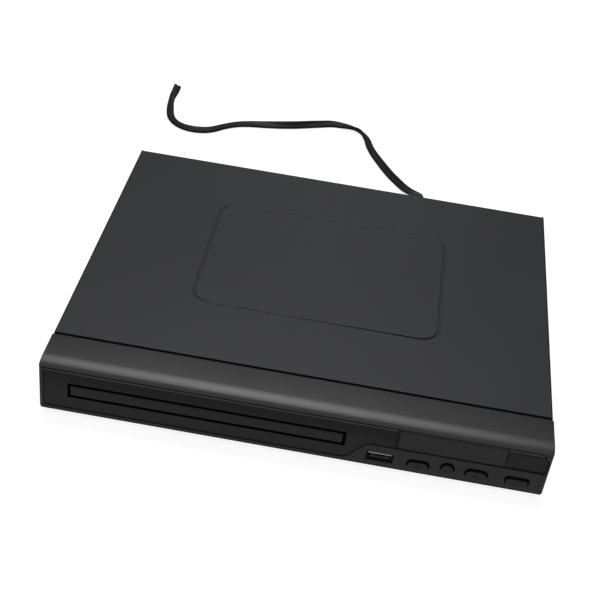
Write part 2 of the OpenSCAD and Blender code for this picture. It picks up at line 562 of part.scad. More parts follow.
// ---------- traverse ----------
grommet_at = [[lx - 37, 62], [lx + 37.6, 62], [lx - 37, 146], [lx + 37.6, 146]];
module lift_frame() color([0.16, 0.16, 0.16]) place() difference() {
  union() {
    slab(lx - 41, lx - 33, 47, 164, 10.4, 13.2);
    slab(lx + 34, lx + 42, 47, 164, 10.4, 13.2);
    slab(lx - 41, lx + 42, 47, 55, 10.4, 13.2);
    slab(lx - 41, lx + 42, 155, 164, 10.4, 13.2);
    rod_x(pivot_y, pivot_z, lx - 49, lx - 41, 1.5);
    rod_x(pivot_y, pivot_z, lx + 42, lx + 49, 1.5);
    slab(lx - 3, lx + 3, 47, 50, 10.4, 14.8);
    rod_y(lx, pin_z, 42.6, 47.5, 1.2);
  }
  for (p = grommet_at) rod_z(p[0], p[1], 10, 14, 3.2);
}
module rubber_grommets() color([0.08, 0.08, 0.08]) place() for (p = grommet_at) difference() {
  union() {
    rod_z(p[0], p[1], 10.4, 13.6, 3.2);
    rod_z(p[0], p[1], 13.2, 13.6, 3.8);
  }
  rod_z(p[0], p[1], 10, 14, 1.3);
}
module grommet_screws() color([0.62, 0.62, 0.63]) place()
  for (p = grommet_at) translate([p[0], p[1], 14.6]) screw(4.2, 2.6, 1.2, 1.3);
module traverse_plate() color([0.6, 0.61, 0.62]) place() difference() {
  union() {
    slab(lx - 40.5, lx + 41, 57.5, 151, 13.6, 14.6);
    for (x = [lx - 22, lx + 22], y = [85, 148.2]) slab(x - 2.4, x + 2.4, y, y + 2.4, 10.6, 13.6);
    slab(lx + 27.5, lx + 31.5, 85, 86.8, 10.6, 13.6);
  }
  slab(lx - 26, lx + 34, 88, 148, 13, 15);
  rod_z(lx, sy, 13, 15, 6);
  for (x = [lx - 22, lx + 22]) rod_y(x, 12.6, 84, 152, 1.52);
  rod_y(lx + 29.5, 12.2, 84, 88, 1.02);
  for (p = grommet_at) rod_z(p[0], p[1], 13, 15, 1.3);
}
module spindle_motor() color([0.68, 0.68, 0.67]) place() difference() {
  union() {
    rod_z(lx, sy, 9.9, 13.6, 11.8);
    rod_z(lx, sy, 13.6, 16.6, 5.6);
  }
  rod_z(lx, sy, 11, 17, 1.05);
}
module turntable() color([0.13, 0.13, 0.13]) place() {
  rod_z(lx, sy, 11.2, 18, 1);
  difference() {
    union() {
      rod_z(lx, sy, 17.4, 21.4, 14.5);
      rod_z(lx, sy, 21.4, 22.6, 7.4);
      translate([lx, sy, 22.6]) cylinder(r1 = 7.4, r2 = 6.2, h = 1, $fn = 48);
    }
    difference() {
      rod_z(lx, sy, 21, 22, 13.8);
      rod_z(lx, sy, 20, 23, 10.4);
    }
  }
}
module guide_rods() color([0.78, 0.78, 0.79]) place() for (x = [lx - 22, lx + 22]) rod_y(x, 12.6, 85, 150.6, 1.5);
module pickup_sled() color([0.17, 0.17, 0.18]) place() difference() {
  union() {
    slab(lx - 17, lx + 17, 89, 109, 11, 17.4);
    slab(lx - 24.6, lx + 24.6, 90, 108, 10.8, 14.4);
    slab(lx + 24.6, lx + 27.8, 92, 96, 11, 13.4);
    slab(lx - 7, lx + 7, 93, 105, 17.4, 18.8);
  }
  for (x = [lx - 22, lx + 22]) rod_y(x, 12.6, 88, 110, 1.56);
  rod_z(lx, 98, 17.6, 20, 3);
}
module pickup_lens() color([0.5, 0.6, 0.7]) place() {
  rod_z(lx, 98, 17.6, 19.2, 2.9);
  intersection() {
    translate([lx, 98, 16.2]) sphere(r = 3.7, $fn = 32);
    rod_z(lx, 98, 19.1, 21, 2.9);
  }
}
module lead_screw() color([0.75, 0.75, 0.76]) place() translate([lx + 29.5, 85.2, 12.2]) rotate([-90, 0, 0]) {
  cylinder(r = 0.98, h = 1.8, $fn = 48);
  for (k = [0:20]) translate([0, 0, 1.8 + k * 2.1]) {
    cylinder(r1 = 1.35, r2 = 1.05, h = 1.05, $fn = 32);
    translate([0, 0, 1.05]) cylinder(r1 = 1.05, r2 = 1.35, h = 1.05, $fn = 32);
  }
  translate([0, 0, 45.9]) cylinder(r = 0.98, h = 2, $fn = 48);
}
module sled_motor() color([0.7, 0.7, 0.69]) place() difference() {
  rod_y(lx + 29.5, 12.2, 132, 146, 4.4);
  rod_y(lx + 29.5, 12.2, 131, 134, 1.05);
}

// ---------- boards ----------
module main_board() color([0.1, 0.34, 0.2]) place() difference() {
  slab(40, 127, 40, 117, 9, 10.6);
  for (p = [board_posts[0], board_posts[1], board_posts[2], board_posts[3]]) rod_z(p[0], p[1], 8, 12, 1.4);
}
module decoder_chip() color([0.07, 0.07, 0.07]) place() {
  slab(72, 92, 66, 86, 10.6, 12.2);
  for (s = [0:15]) {
    slab(73 + s * 1.2, 73.5 + s * 1.2, 64.6, 66, 10.6, 11);
    slab(73 + s * 1.2, 73.5 + s * 1.2, 86, 87.4, 10.6, 11);
  }
  slab(100, 110, 68, 84, 10.6, 11.8);
}
caps = [[112, 56, 4, 11], [112, 96, 4, 11], [100, 52, 2.5, 7], [58, 100, 2.5, 7], [66, 106, 2.5, 7], [80, 104, 4, 9],
  [52, 160, 6, 16], [52, 176, 6, 16], [66, 196, 5, 12], [80, 200, 5, 12]];
module board_capacitors() color([0.12, 0.13, 0.2]) place() for (c = caps) difference() {
  rod_z(c[0], c[1], 10.6, 10.6 + c[3], c[2]);
  translate([c[0], c[1], 10.6 + 1.6]) rotate_extrude($fn = 48) translate([c[2] + 0.2, 0]) circle(r = 0.5, $fn = 16);
}
module board_connectors() color([0.9, 0.88, 0.82]) place() {
  slab(56, 76, 41.5, 45.5, 10.6, 16);
  slab(42, 46, 60, 84, 10.6, 14);
  slab(42, 46, 94, 109, 10.6, 16);
  slab(26.25, 29.8, 64, 80, 6.6, 10.6);
  slab(60, 84, 112, 116, 10.6, 15.5);
  slab(92, 104, 112, 116, 10.6, 16);
  slab(92, 104, 131.5, 135.5, 10.6, 16);
  slab(-17, -13, 196, 212, 10.6, 14);
  slab(lead_x - 2, lead_x + 2, 209, 212.4, 10.6, 18);
  slab(60, 76, 14, 17.5, 24, 28);
}
module av_board() color([0.1, 0.34, 0.2]) place() difference() {
  slab(-115, -12, 188, 220, 9, 10.6);
  for (p = [board_posts[8], board_posts[9]]) rod_z(p[0], p[1], 8, 12, 1.4);
}
module power_board() color([0.56, 0.42, 0.22]) place() difference() {
  slab(40, 127, 130, 213, 9, 10.6);
  for (p = [board_posts[4], board_posts[5], board_posts[6], board_posts[7]]) rod_z(p[0], p[1], 8, 12, 1.4);
}
module board_screws() color([0.62, 0.62, 0.63]) place() {
  for (p = board_posts) translate([p[0], p[1], 10.6]) screw(4.8, 2.7, 1.25, 1.5);
  for (x = [60, 77.2, 111]) translate([x, 14, 17.6]) rotate([-90, 0, 0]) screw(6, 2, 0.9, 1.2);
}
module transformer() color([0.75, 0.68, 0.42]) place() {
  slab(82, 112, 150, 172, 10.6, 13);
  slab(85, 109, 153, 169, 13, 27);
  slab(82, 112, 150, 172, 27, 29);
}
module fuse() color([0.8, 0.8, 0.78]) place() {
  rod_x(186, 14.6, 96, 116, 2.6);
  for (x = [98, 114]) slab(x - 1.4, x + 1.4, 183, 189, 10.6, 14.6);
}

// ---------- rear sockets ----------
module rca_housing() color([0.1, 0.1, 0.1]) place() {
  difference() {
    union() {
      slab(rca_x[0] - 7.5, rca_x[2] + 7.5, rp - 12, rp - 0.8, 10.6, 24.4);
      for (x = rca_x) rod_y(x, 17.5, rp - 1, rp + 0.2, 4.4);
    }
    for (x = rca_x) rod_y(x, 17.5, rp - 9, rp + 1, 4.15);
  }
  // insulating cores with the bore of the middle pin
  for (x = rca_x) difference() {
    rod_y(x, 17.5, rp - 9.1, rp + 5.6, 3.45);
    rod_y(x, 17.5, rp - 8, rp + 8, 1.65);
  }
}
module rca_shells() color([0.8, 0.78, 0.7]) place() for (x = rca_x) difference() {
  union() {
    rod_y(x, 17.5, rp - 9, rear + socket_out, 4.15);
    rod_y(x, 17.5, rp + 0.3, rp + 1.1, 5.6);
  }
  rod_y(x, 17.5, rp - 10, rear + socket_out + 1, 3.5);
}
module hdmi_socket() color([0.7, 0.7, 0.71]) place() {
  difference() {
    xz(rp - 11, rp - 0.1) polygon([[-35.5, 20.1], [-20.5, 20.1], [-20.5, 17.2], [-22.3, 14.5], [-33.7, 14.5], [-35.5, 17.2]]);
    xz(rp - 10.4, rp + 1) polygon([[-35.1, 19.7], [-20.9, 19.7], [-20.9, 17.4], [-22.5, 14.9], [-33.5, 14.9], [-35.1, 17.4]]);
  }
  slab(-33.5, -22.5, rp - 10.6, rp - 2, 17.2, 18.3);
  slab(-35, -21, rp - 10, rp - 3, 10.6, 14.6);
}

// ---------- cables ----------
// a flat cable as a bent strip in the plane of its run
module strip(P, t) polygon(concat([for (p = P) p], [for (i = [len(P) - 1:-1:0]) P[i] + [0, t]]));
module ribbon_cables() color([0.85, 0.85, 0.86]) place() {
  // front board to main board
  yz(62, 74) strip([[17.5, 25.6], [22, 25.8], [28, 25], [34, 22.6], [39, 19.6], [43.4, 16.2], [44.2, 16]], 0.4);
  // main board to loader
  xz(66, 78) strip([[29.9, 8.4], [32, 9], [34.5, 11], [37, 13.2], [40, 14.2], [43, 14.2], [45, 14]], 0.4);
  // main board to the board of the rear sockets
  xz(198, 210) strip([[-15, 14], [-12, 14.4], [-8, 15.2], [2, 15.8], [14, 15.6], [24, 15], [39, 15]], 0.4);
  slab(27.5, 39, 96, 210, 15.2, 15.6);
  xz(96, 107.5) strip([[27.5, 15], [38, 15], [40, 15.5], [41.6, 16.05], [44, 16.05]], 0.4);
}
module supply_wires() color([0.75, 0.1, 0.08]) place() {
  // main board to power board
  for (i = [0:3]) sweep([for (k = [0:6]) [94 + i * 2.6, 115 + k * 3, 16.6 + 3 * sin(k * 30), 0]], 1.3, 1.3, 8);
  // lead to power board
  for (i = [0, 1]) sweep([for (k = [0:4]) [lead_x - 1.2 + i * 2.4, rp - 4.8 - k * 1.1, lead_z + 0.5 * sin(k * 45), 0]], 1.8, 1.8, 8);
}
module strain_relief() color([0.06, 0.06, 0.06]) place() translate([lead_x, 0, lead_z]) rotate([-90, 0, 0]) {
  translate([0, 0, rp - 4.4]) cylinder(r = 6.2, h = 3.6, $fn = 48);
  translate([0, 0, rp - 0.8]) cylinder(r = 4.5, h = 0.8, $fn = 48);
  translate([0, 0, rp]) cylinder(r = 6, h = 2.4, $fn = 48);
  difference() {
    translate([0, 0, rp + 2.4]) cylinder(r1 = 5, r2 = 3.6, h = 20.4, $fn = 48);
    for (k = [0:4]) translate([0, 0, rp + 5.6 + k * 3.4]) difference() {
      cylinder(r = 8, h = 1.3, $fn = 48);
      cylinder(r = 3.5 - k * 0.12, h = 1.3, $fn = 48);
      rotate(k % 2 * 90) translate([-1.1, -8, -1]) cube([2.2, 16, 4]);
    }
  }
}
module power_cord() color([0.05, 0.05, 0.05]) sweep(refine(lead_route, 2), lead_w, lead_t, 10);

top_cover();
bottom_chassis();
front_bezel();
front_panel();
display_window();
ir_window();
rubber_feet();
cover_screws();
bezel_screws();
usb_shell();
usb_tongue();
usb_contacts();
eject_button();
play_button();
stop_button();
power_button();
front_board();
key_switches();
display_module();
ir_receiver();
disc_tray();
tray_flap();
loader_frame();
loader_screws();
tray_gear();
pulley_gear();
motor_pulley();
loading_motor();
drive_belt();
tray_switch();
lift_slider();
clamp_bridge();
clamp_puck();
lift_frame();
traverse_plate();
rubber_grommets();
grommet_screws();
spindle_motor();
turntable();
guide_rods();
pickup_sled();
pickup_lens();
lead_screw();
sled_motor();
main_board();
decoder_chip();
board_capacitors();
board_connectors();
av_board();
power_board();
board_screws();
transformer();
fuse();
rca_housing();
rca_shells();
hdmi_socket();
ribbon_cables();
supply_wires();
strain_relief();
power_cord();
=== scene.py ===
"""Disc player with a motorised tray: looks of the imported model."""

import json
import math

import bmesh
import bpy
import numpy as np
from mathutils import Matrix, Vector


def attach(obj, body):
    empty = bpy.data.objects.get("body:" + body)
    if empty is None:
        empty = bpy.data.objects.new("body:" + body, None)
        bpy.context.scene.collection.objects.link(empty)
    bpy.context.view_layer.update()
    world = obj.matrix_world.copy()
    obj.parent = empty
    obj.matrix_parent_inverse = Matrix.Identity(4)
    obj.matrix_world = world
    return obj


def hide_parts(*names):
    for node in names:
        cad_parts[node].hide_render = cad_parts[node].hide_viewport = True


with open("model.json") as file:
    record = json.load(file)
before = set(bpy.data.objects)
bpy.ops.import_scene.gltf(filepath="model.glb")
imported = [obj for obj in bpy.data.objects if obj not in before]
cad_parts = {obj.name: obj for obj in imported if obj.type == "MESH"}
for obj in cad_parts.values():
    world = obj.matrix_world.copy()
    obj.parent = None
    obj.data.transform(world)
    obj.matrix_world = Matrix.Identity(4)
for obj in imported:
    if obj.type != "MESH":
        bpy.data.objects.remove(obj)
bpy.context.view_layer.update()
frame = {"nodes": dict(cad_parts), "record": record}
NODES = frame["nodes"]
BODY_OF = {n: b for b, ns in frame["record"]["behaviour"]["bodies"].items() for n in ns}
SLOT_OF = {s["node"]: s["material_slot"] for s in frame["record"]["subparts"]}

MM = 0.001
YF = -115.0  # face of the bezel in the row frame, in millimetres

# ------------------------------------------------------------------ camera
scene = bpy.context.scene
scene.view_settings.view_transform = "Standard"
scene.view_settings.look = "None"
scene.view_settings.exposure = 0.0
scene.view_settings.gamma = 1.0


def camera():
    az, el, roll = math.radians(2.967), math.radians(37.406), math.radians(7.941)
    fwd = Vector((-math.sin(az) * math.cos(el), math.cos(az) * math.cos(el), -math.sin(el)))
    right = Vector((math.cos(az), math.sin(az), 0.0))
    up = right.cross(fwd)
    r2 = right * math.cos(roll) + up * math.sin(roll)
    u2 = up * math.cos(roll) - right * math.sin(roll)
    data = bpy.data.cameras.new("camera")
    data.sensor_width = 36.0
    data.lens = 1208.11 / 600.0 * 36.0
    data.clip_start = 0.02
    data.clip_end = 60.0
    cam = bpy.data.objects.new("camera", data)
    scene.collection.objects.link(cam)
    m = Matrix.Identity(4)
    for i, axis in enumerate((r2, u2, -fwd)):
        for k in range(3):
            m[k][i] = axis[k]
    m.translation = Vector((18.95, -575.47, 456.63)) * MM
    cam.matrix_world = m
    scene.camera = cam


camera()


# ------------------------------------------------------------------ helpers
def new_object(name, bm):
    """A mesh object from a bmesh, with its place in its vertices, in metres."""
    me = bpy.data.meshes.new(name)
    bm.to_mesh(me)
    bm.free()
    ob = bpy.data.objects.new(name, me)
    scene.collection.objects.link(ob)
    return ob


def smooth(ob, angle=32.0, weighted=True):
    for p in ob.data.polygons:
        p.use_smooth = True
    ob.data.set_sharp_from_angle(angle=math.radians(angle))
    if weighted:
        m = ob.modifiers.new("normals", "WEIGHTED_NORMAL")
        m.keep_sharp = True
        m.weight = 60
    return ob


def put(ob, mat, body, slot, *nodes):
    ob.data.materials.clear()
    ob.data.materials.append(mat)
    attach(ob, body)
    if nodes:
        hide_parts(*nodes)
    return ob


def P(x, y, z):
    """A point of the drawing frame, in millimetres, as a point of the row frame in metres."""
    return Vector((x * MM, (y + YF) * MM, z * MM))


def arc(cx, cy, r, a0, a1, n):
    """Points from angle a0 to a1, in degrees, both ends in."""
    return [(cx + r * math.cos(math.radians(a0 + (a1 - a0) * i / n)),
             cy + r * math.sin(math.radians(a0 + (a1 - a0) * i / n))) for i in range(n + 1)]


def round_rect(x0, x1, y0, y1, r, n=8):
    """Counterclockwise outline of a rectangle with round corners. r is one radius, or four: from the corner at (x1, y1) on, counterclockwise."""
    rs = list(r) if hasattr(r, "__len__") else [r] * 4
    out = []
    for (cx, cy, a0, q) in ((x1 - rs[0], y1 - rs[0], 0, rs[0]), (x0 + rs[1], y1 - rs[1], 90, rs[1]),
                            (x0 + rs[2], y0 + rs[2], 180, rs[2]), (x1 - rs[3], y0 + rs[3], 270, rs[3])):
        out += arc(cx, cy, q, a0, a0 + 90, n) if q > 1e-6 else [(cx, cy)]
    return out


def circle(cx, cy, r, n=48):
    return [(cx + r * math.cos(2 * math.pi * i / n), cy + r * math.sin(2 * math.pi * i / n)) for i in range(n)]


def offset_outline(pts, d):
    """The outline moved outwards by d along its corner normals (counterclockwise outline)."""
    n = len(pts)
    out = []
    for i in range(n):
        p0, p1, p2 = pts[i - 1], pts[i], pts[(i + 1) % n]
        e1 = Vector((p1[0] - p0[0], p1[1] - p0[1]))
        e2 = Vector((p2[0] - p1[0], p2[1] - p1[1]))
        if e1.length < 1e-9 or e2.length < 1e-9:
            out.append(p1)
            continue
        n1 = Vector((e1.y, -e1.x)).normalized()
        n2 = Vector((e2.y, -e2.x)).normalized()
        m = n1 + n2
        k = d / max(0.3, m.dot(n1))
        out.append((p1[0] + m.x * k, p1[1] + m.y * k))
    return out


def loft(bm, rings, close=True, caps=True):
    """Quads between rings of points, in order, and an n-gon on each end."""
    made = [[bm.verts.new(p) for p in ring] for ring in rings]
    n = len(made[0])
    for a, b in zip(made, made[1:]):
        for i in range(n if close else n - 1):
            j = (i + 1) % n
            bm.faces.new((a[i], a[j], b[j], b[i]))
    if caps:
        bm.faces.new(list(reversed(made[0])))
        bm.faces.new(made[-1])
    return made


def front_solid(name, outline, y0, y1, edge=0.0, back=0.0, steps=4):
    """A solid whose outline is in X and Z, from y0 at its front to y1 at its back. edge is the radius of its front edge, and back of its rear edge."""
    rings = []
    for i in range(steps + 1 if edge else 1):
        a = math.radians(90 * i / steps) if edge else 0
        d = -edge * (1 - math.sin(a)) if edge else 0
        y = y0 + (edge * (1 - math.cos(a)) if edge else 0)
        rings.append([P(x, y, z) for x, z in (offset_outline(outline, d) if d else outline)])
    for i in range(steps + 1 if back else 1):
        a = math.radians(90 * i / steps) if back else 0
        d = -back * (1 - math.cos(a)) if back else 0
        y = y1 - (back * (1 - math.sin(a)) if back else 0)
        rings.append([P(x, y, z) for x, z in (offset_outline(outline, d) if d else outline)])
    bm = bmesh.new()
    loft(bm, rings)
    bmesh.ops.recalc_face_normals(bm, faces=bm.faces)
    return new_object(name, bm)


def front_cutter(name, outline, y0, y1, mouth=None, r=0.0, steps=4):
    """A cutter from y0 to y1 whose outline flares by r at the face y = mouth, so the hole it cuts has a rounded edge."""
    rings = [[P(x, y0, z) for x, z in (offset_outline(outline, r) if r else outline)]]
    if r:
        for i in range(steps + 1):
            a = math.radians(90 * i / steps)
            flare = r * (1 - math.sin(a))
            rings.append([P(x, mouth + r * (1 - math.cos(a)), z) for x, z in (offset_outline(outline, flare) if i < steps else outline)])
    rings.append([P(x, y1, z) for x, z in outline])
    bm = bmesh.new()
    loft(bm, rings)
    bmesh.ops.recalc_face_normals(bm, faces=bm.faces)
    return new_object(name, bm)


def box(name, x0, x1, y0, y1, z0, z1):
    return front_solid(name, [(x0, z0), (x1, z0), (x1, z1), (x0, z1)], y0, y1)


def boolean(ob, other, op="DIFFERENCE"):
    m = ob.modifiers.new("cut", "BOOLEAN")
    m.operation = op
    m.solver = "EXACT"
    m.object = other
    return apply_modifiers(ob, [other])


def apply_modifiers(ob, drop=()):
    bpy.context.view_layer.update()
    dg = bpy.context.evaluated_depsgraph_get()
    me = bpy.data.meshes.new_from_object(ob.evaluated_get(dg))
    old = ob.data
    ob.modifiers.clear()
    ob.data = me
    bpy.data.meshes.remove(old)
    for o in drop:
        bpy.data.objects.remove(o, do_unlink=True)
    return ob


def tidy(ob, dist=2e-6, flat=0.2):
    """Joins double vertices and merges faces of one plane."""
    bm = bmesh.new()
    bm.from_mesh(ob.data)
    bmesh.ops.remove_doubles(bm, verts=bm.verts, dist=dist)
    bmesh.ops.dissolve_degenerate(bm, edges=bm.edges, dist=dist)
    bmesh.ops.dissolve_limit(bm, angle_limit=math.radians(flat), verts=bm.verts, edges=bm.edges)
    bm.to_mesh(ob.data)
    bm.free()
    return ob


def drop_specks(ob):
    """Removes the loose specks and bare points that a cut leaves behind."""
    bm = bmesh.new()
    bm.from_mesh(ob.data)
    bm.faces.ensure_lookup_table()
    seen, gone = set(), []
    for first in bm.faces:
        if first.index in seen:
            continue
        seen.add(first.index)
        stack, part = [first], []
        while stack:
            f = stack.pop()
            part.append(f)
            for e in f.edges:
                for g in e.link_faces:
                    if g.index not in seen:
                        seen.add(g.index)
                        stack.append(g)
        if len(part) < 6 and sum(f.calc_area() for f in part) < 2e-8:
            gone += part
    if gone:
        bmesh.ops.delete(bm, geom=gone, context="FACES")
    bare = [v for v in bm.verts if not v.link_faces]
    if bare:
        bmesh.ops.delete(bm, geom=bare, context="VERTS")
    bm.to_mesh(ob.data)
    bm.free()
    return ob


def bevel(ob, width, segments=2, angle=40.0):
    m = ob.modifiers.new("bevel", "BEVEL")
    m.width = width * MM
    m.segments = segments
    m.limit_method = "ANGLE"
    m.angle_limit = math.radians(angle)
    m.use_clamp_overlap = True
    m.miter_outer = "MITER_ARC" if width >= 0.2 else "MITER_SHARP"
    return apply_modifiers(ob)


def from_cad(node, name):
    """A new piece that starts from a CAD node's mesh, with the double vertices joined and flat areas merged."""
    me = NODES[node].data.copy()
    me.materials.clear()
    ob = bpy.data.objects.new(name, me)
    scene.collection.objects.link(ob)
    for a in [x for x in me.attributes if x.name == "custom_normal"]:
        me.attributes.remove(a)
    return tidy(ob)


# ------------------------------------------------------------------ materials
def nodes_of(mat):
    mat.use_nodes = True
    nt = mat.node_tree
    nt.nodes.clear()
    out = nt.nodes.new("ShaderNodeOutputMaterial")
    bs = nt.nodes.new("ShaderNodeBsdfPrincipled")
    nt.links.new(bs.outputs["BSDF"], out.inputs["Surface"])
    return nt, bs


def ramp(nt, src, stops):
    r = nt.nodes.new("ShaderNodeValToRGB")
    while len(r.color_ramp.elements) < len(stops):
        r.color_ramp.elements.new(0.5)
    for e, (pos, col) in zip(r.color_ramp.elements, stops):
        e.position = pos
        e.color = (*col, 1.0)
    nt.links.new(src, r.inputs["Fac"])
    return r.outputs["Color"]


def span(nt, src, a, b, lo=0.3, hi=0.7):
    m = nt.nodes.new("ShaderNodeMapRange")
    m.inputs["From Min"].default_value = lo
    m.inputs["From Max"].default_value = hi
    m.inputs["To Min"].default_value = a
    m.inputs["To Max"].default_value = b
    nt.links.new(src, m.inputs["Value"])
    return m.outputs["Result"]


def coords(nt, scale=(1, 1, 1), rot=(0, 0, 0)):
    tc = nt.nodes.new("ShaderNodeTexCoord")
    mp = nt.nodes.new("ShaderNodeMapping")
    mp.inputs["Scale"].default_value = scale
    mp.inputs["Rotation"].default_value = rot
    nt.links.new(tc.outputs["Object"], mp.inputs["Vector"])
    return mp.outputs["Vector"]


def noise(nt, vec, scale, detail=2.0, rough=0.5, distort=0.0):
    n = nt.nodes.new("ShaderNodeTexNoise")
    n.inputs["Scale"].default_value = scale
    n.inputs["Detail"].default_value = detail
    n.inputs["Roughness"].default_value = rough
    n.inputs["Distortion"].default_value = distort
    nt.links.new(vec, n.inputs["Vector"])
    return n.outputs["Fac"]


def bump(nt, height, strength, distance):
    b = nt.nodes.new("ShaderNodeBump")
    b.inputs["Strength"].default_value = strength
    b.inputs["Distance"].default_value = distance
    nt.links.new(height, b.inputs["Height"])
    return b


def moulded(name, color, rough, spread=0.06, tint=0.12, grain=1600.0, grain_depth=0.00004, strength=0.25,
            spec=0.5, coat=0.0, coat_rough=0.1, stretch=(1, 1, 1), big=35.0, metallic=0.0, dust=0.0, shade=None,
            shade_axis="Z"):
    """A moulded or painted surface: slow drifts of tone and gloss, a fine grain in its relief, and a trace of dust."""
    mat = bpy.data.materials.new(name)
    nt, bs = nodes_of(mat)
    vec = coords(nt, stretch)
    slow = noise(nt, vec, big, 3.0, 0.55)
    fine = noise(nt, vec, grain, 3.0, 0.6)
    dark = tuple(c * (1 - tint) for c in color)
    light = tuple(min(1.0, c * (1 + tint)) for c in color)
    base = ramp(nt, slow, [(0.3, dark), (0.7, light)])
    if dust:
        specks = noise(nt, vec, grain * 0.45, 2.0, 0.5)
        mx = nt.nodes.new("ShaderNodeMix")
        mx.data_type = "RGBA"
        nt.links.new(span(nt, specks, 0.0, dust, 0.62, 0.78), mx.inputs["Factor"])
        nt.links.new(base, mx.inputs["A"])
        mx.inputs["B"].default_value = (0.35, 0.34, 0.33, 1)
        base = mx.outputs["Result"]
    if shade:
        # painted shade: a slow change of tone across the piece: (where it starts, where it ends, factor there), in
        # millimetres
        sp = nt.nodes.new("ShaderNodeSeparateXYZ")
        nt.links.new(coords(nt), sp.inputs["Vector"])
        mx = nt.nodes.new("ShaderNodeMix")
        mx.data_type = "RGBA"
        off = YF if shade_axis == "Y" else 0.0
        nt.links.new(span(nt, sp.outputs[shade_axis], 0.0, 1.0, (shade[0] + off) * MM, (shade[1] + off) * MM), mx.inputs["Factor"])
        nt.links.new(base, mx.inputs["A"])
        mx.inputs["B"].default_value = (*(c * shade[2] for c in color), 1)
        base = mx.outputs["Result"]
    nt.links.new(base, bs.inputs["Base Color"])
    nt.links.new(span(nt, slow, rough - spread, rough + spread), bs.inputs["Roughness"])
    b = bump(nt, fine, strength, grain_depth)
    nt.links.new(b.outputs["Normal"], bs.inputs["Normal"])
    bs.inputs["Metallic"].default_value = metallic
    bs.inputs["Specular IOR Level"].default_value = spec
    if coat:
        bs.inputs["Coat Weight"].default_value = coat
        bs.inputs["Coat Roughness"].default_value = coat_rough
    return mat


def metal(name, color, rough, spread=0.08, tint=0.1, stretch=(1, 1, 1), grain=900.0, depth=0.00003, strength=0.3, spots=0.0, spot_color=(0.2, 0.19, 0.18)):
    """Bare or plated metal: drawn or brushed along one axis by stretch, with stains where spots is above 0."""
    mat = bpy.data.materials.new(name)
    nt, bs = nodes_of(mat)
    vec = coords(nt, stretch)
    plain = coords(nt)
    lines = noise(nt, vec, grain, 4.0, 0.6)
    cloud = noise(nt, plain, 60.0, 4.0, 0.6)
    dark = tuple(c * (1 - tint) for c in color)
    base = ramp(nt, lines, [(0.3, dark), (0.7, color)])
    if spots:
        mx = nt.nodes.new("ShaderNodeMix")
        mx.data_type = "RGBA"
        nt.links.new(span(nt, cloud, 0.0, spots, 0.5, 0.75), mx.inputs["Factor"])
        nt.links.new(base, mx.inputs["A"])
        mx.inputs["B"].default_value = (*spot_color, 1)
        base = mx.outputs["Result"]
    nt.links.new(base, bs.inputs["Base Color"])
    nt.links.new(span(nt, cloud, rough - spread, rough + spread), bs.inputs["Roughness"])
    b = bump(nt, lines, strength, depth)
    nt.links.new(b.outputs["Normal"], bs.inputs["Normal"])
    bs.inputs["Metallic"].default_value = 1.0
    return mat


def board(name, mask, copper, cell=420.0):
    """A printed circuit board: solder mask over tracks that run along X and Y, and rings of solder."""
    mat = bpy.data.materials.new(name)
    nt, bs = nodes_of(mat)
    vec = coords(nt)
    br = nt.nodes.new("ShaderNodeTexBrick")
    br.inputs["Scale"].default_value = cell
    br.inputs["Mortar Size"].default_value = 0.04
    br.inputs["Color1"].default_value = (0, 0, 0, 1)
    br.inputs["Color2"].default_value = (0.25, 0.25, 0.25, 1)
    br.inputs["Mortar"].default_value = (1, 1, 1, 1)
    br.offset = 0.37
    br.squash = 1.7
    nt.links.new(vec, br.inputs["Vector"])
    vo = nt.nodes.new("ShaderNodeTexVoronoi")
    vo.inputs["Scale"].default_value = cell * 0.55
    nt.links.new(vec, vo.inputs["Vector"])
    tracks = ramp(nt, br.outputs["Color"], [(0.2, mask), (0.8, tuple(c * 1.7 for c in mask))])
    mx = nt.nodes.new("ShaderNodeMix")
    mx.data_type = "RGBA"
    nt.links.new(span(nt, vo.outputs["Distance"], 1.0, 0.0, 0.10, 0.16), mx.inputs["Factor"])
    nt.links.new(tracks, mx.inputs["A"])
    mx.inputs["B"].default_value = (*copper, 1)
    nt.links.new(mx.outputs["Result"], bs.inputs["Base Color"])
    nt.links.new(span(nt, vo.outputs["Distance"], 0.28, 0.42, 0.1, 0.4), bs.inputs["Roughness"])
    b = bump(nt, br.outputs["Fac"], 0.4, 0.00004)
    nt.links.new(b.outputs["Normal"], bs.inputs["Normal"])
    return mat


M = {}
M["black_painted_steel"] = moulded("satin_paint", (0.0164, 0.0176, 0.0208), 0.43, spread=0.025, tint=0.05, grain=2200.0,
                                   grain_depth=0.00002, strength=0.16, big=14.0, dust=0.03)
# painted shade: darker paint for the cover's pressing, darkening further towards its front run, for the shade in the
# groove
M["groove_painted_shade"] = moulded("groove_painted_shade", (0.0120, 0.0129, 0.0155), 0.5, spread=0.02, tint=0.05, grain=2200.0,
                            grain_depth=0.00002, strength=0.16, big=14.0, shade=(92.0, 76.0, 0.55), shade_axis="Y")
# painted shade: near-black paint for the cover's two side bends, a dark shade line along them
M["bend_painted_shade"] = moulded("bend_painted_shade", (0.0075, 0.0076, 0.0080), 0.5, spread=0.02, tint=0.05, grain=2200.0,
                          grain_depth=0.00002, strength=0.16, spec=0.25, big=14.0)
M["bezel_plastic"] = moulded("bezel_abs", (0.0151, 0.0156, 0.0176), 0.36, spread=0.02, tint=0.05, grain=2600.0,
                             grain_depth=0.00002, strength=0.14, big=18.0, dust=0.02)
# painted shade: the panel darkens towards its top, under the overhang of the roll
M["panel_plastic"] = moulded("panel_abs", (0.0142, 0.0142, 0.0147), 0.38, spread=0.03, tint=0.06, grain=2600.0,
                             grain_depth=0.00002, strength=0.14, spec=0.34, big=22.0, dust=0.02, shade=(19.0, 26.0, 0.42))
M["smoked_window"] = moulded("smoked_acrylic", (0.0222, 0.0218, 0.0222), 0.16, spread=0.02, tint=0.04, grain=500.0,
                             grain_depth=0.000004, strength=0.08, spec=0.3, big=10.0)
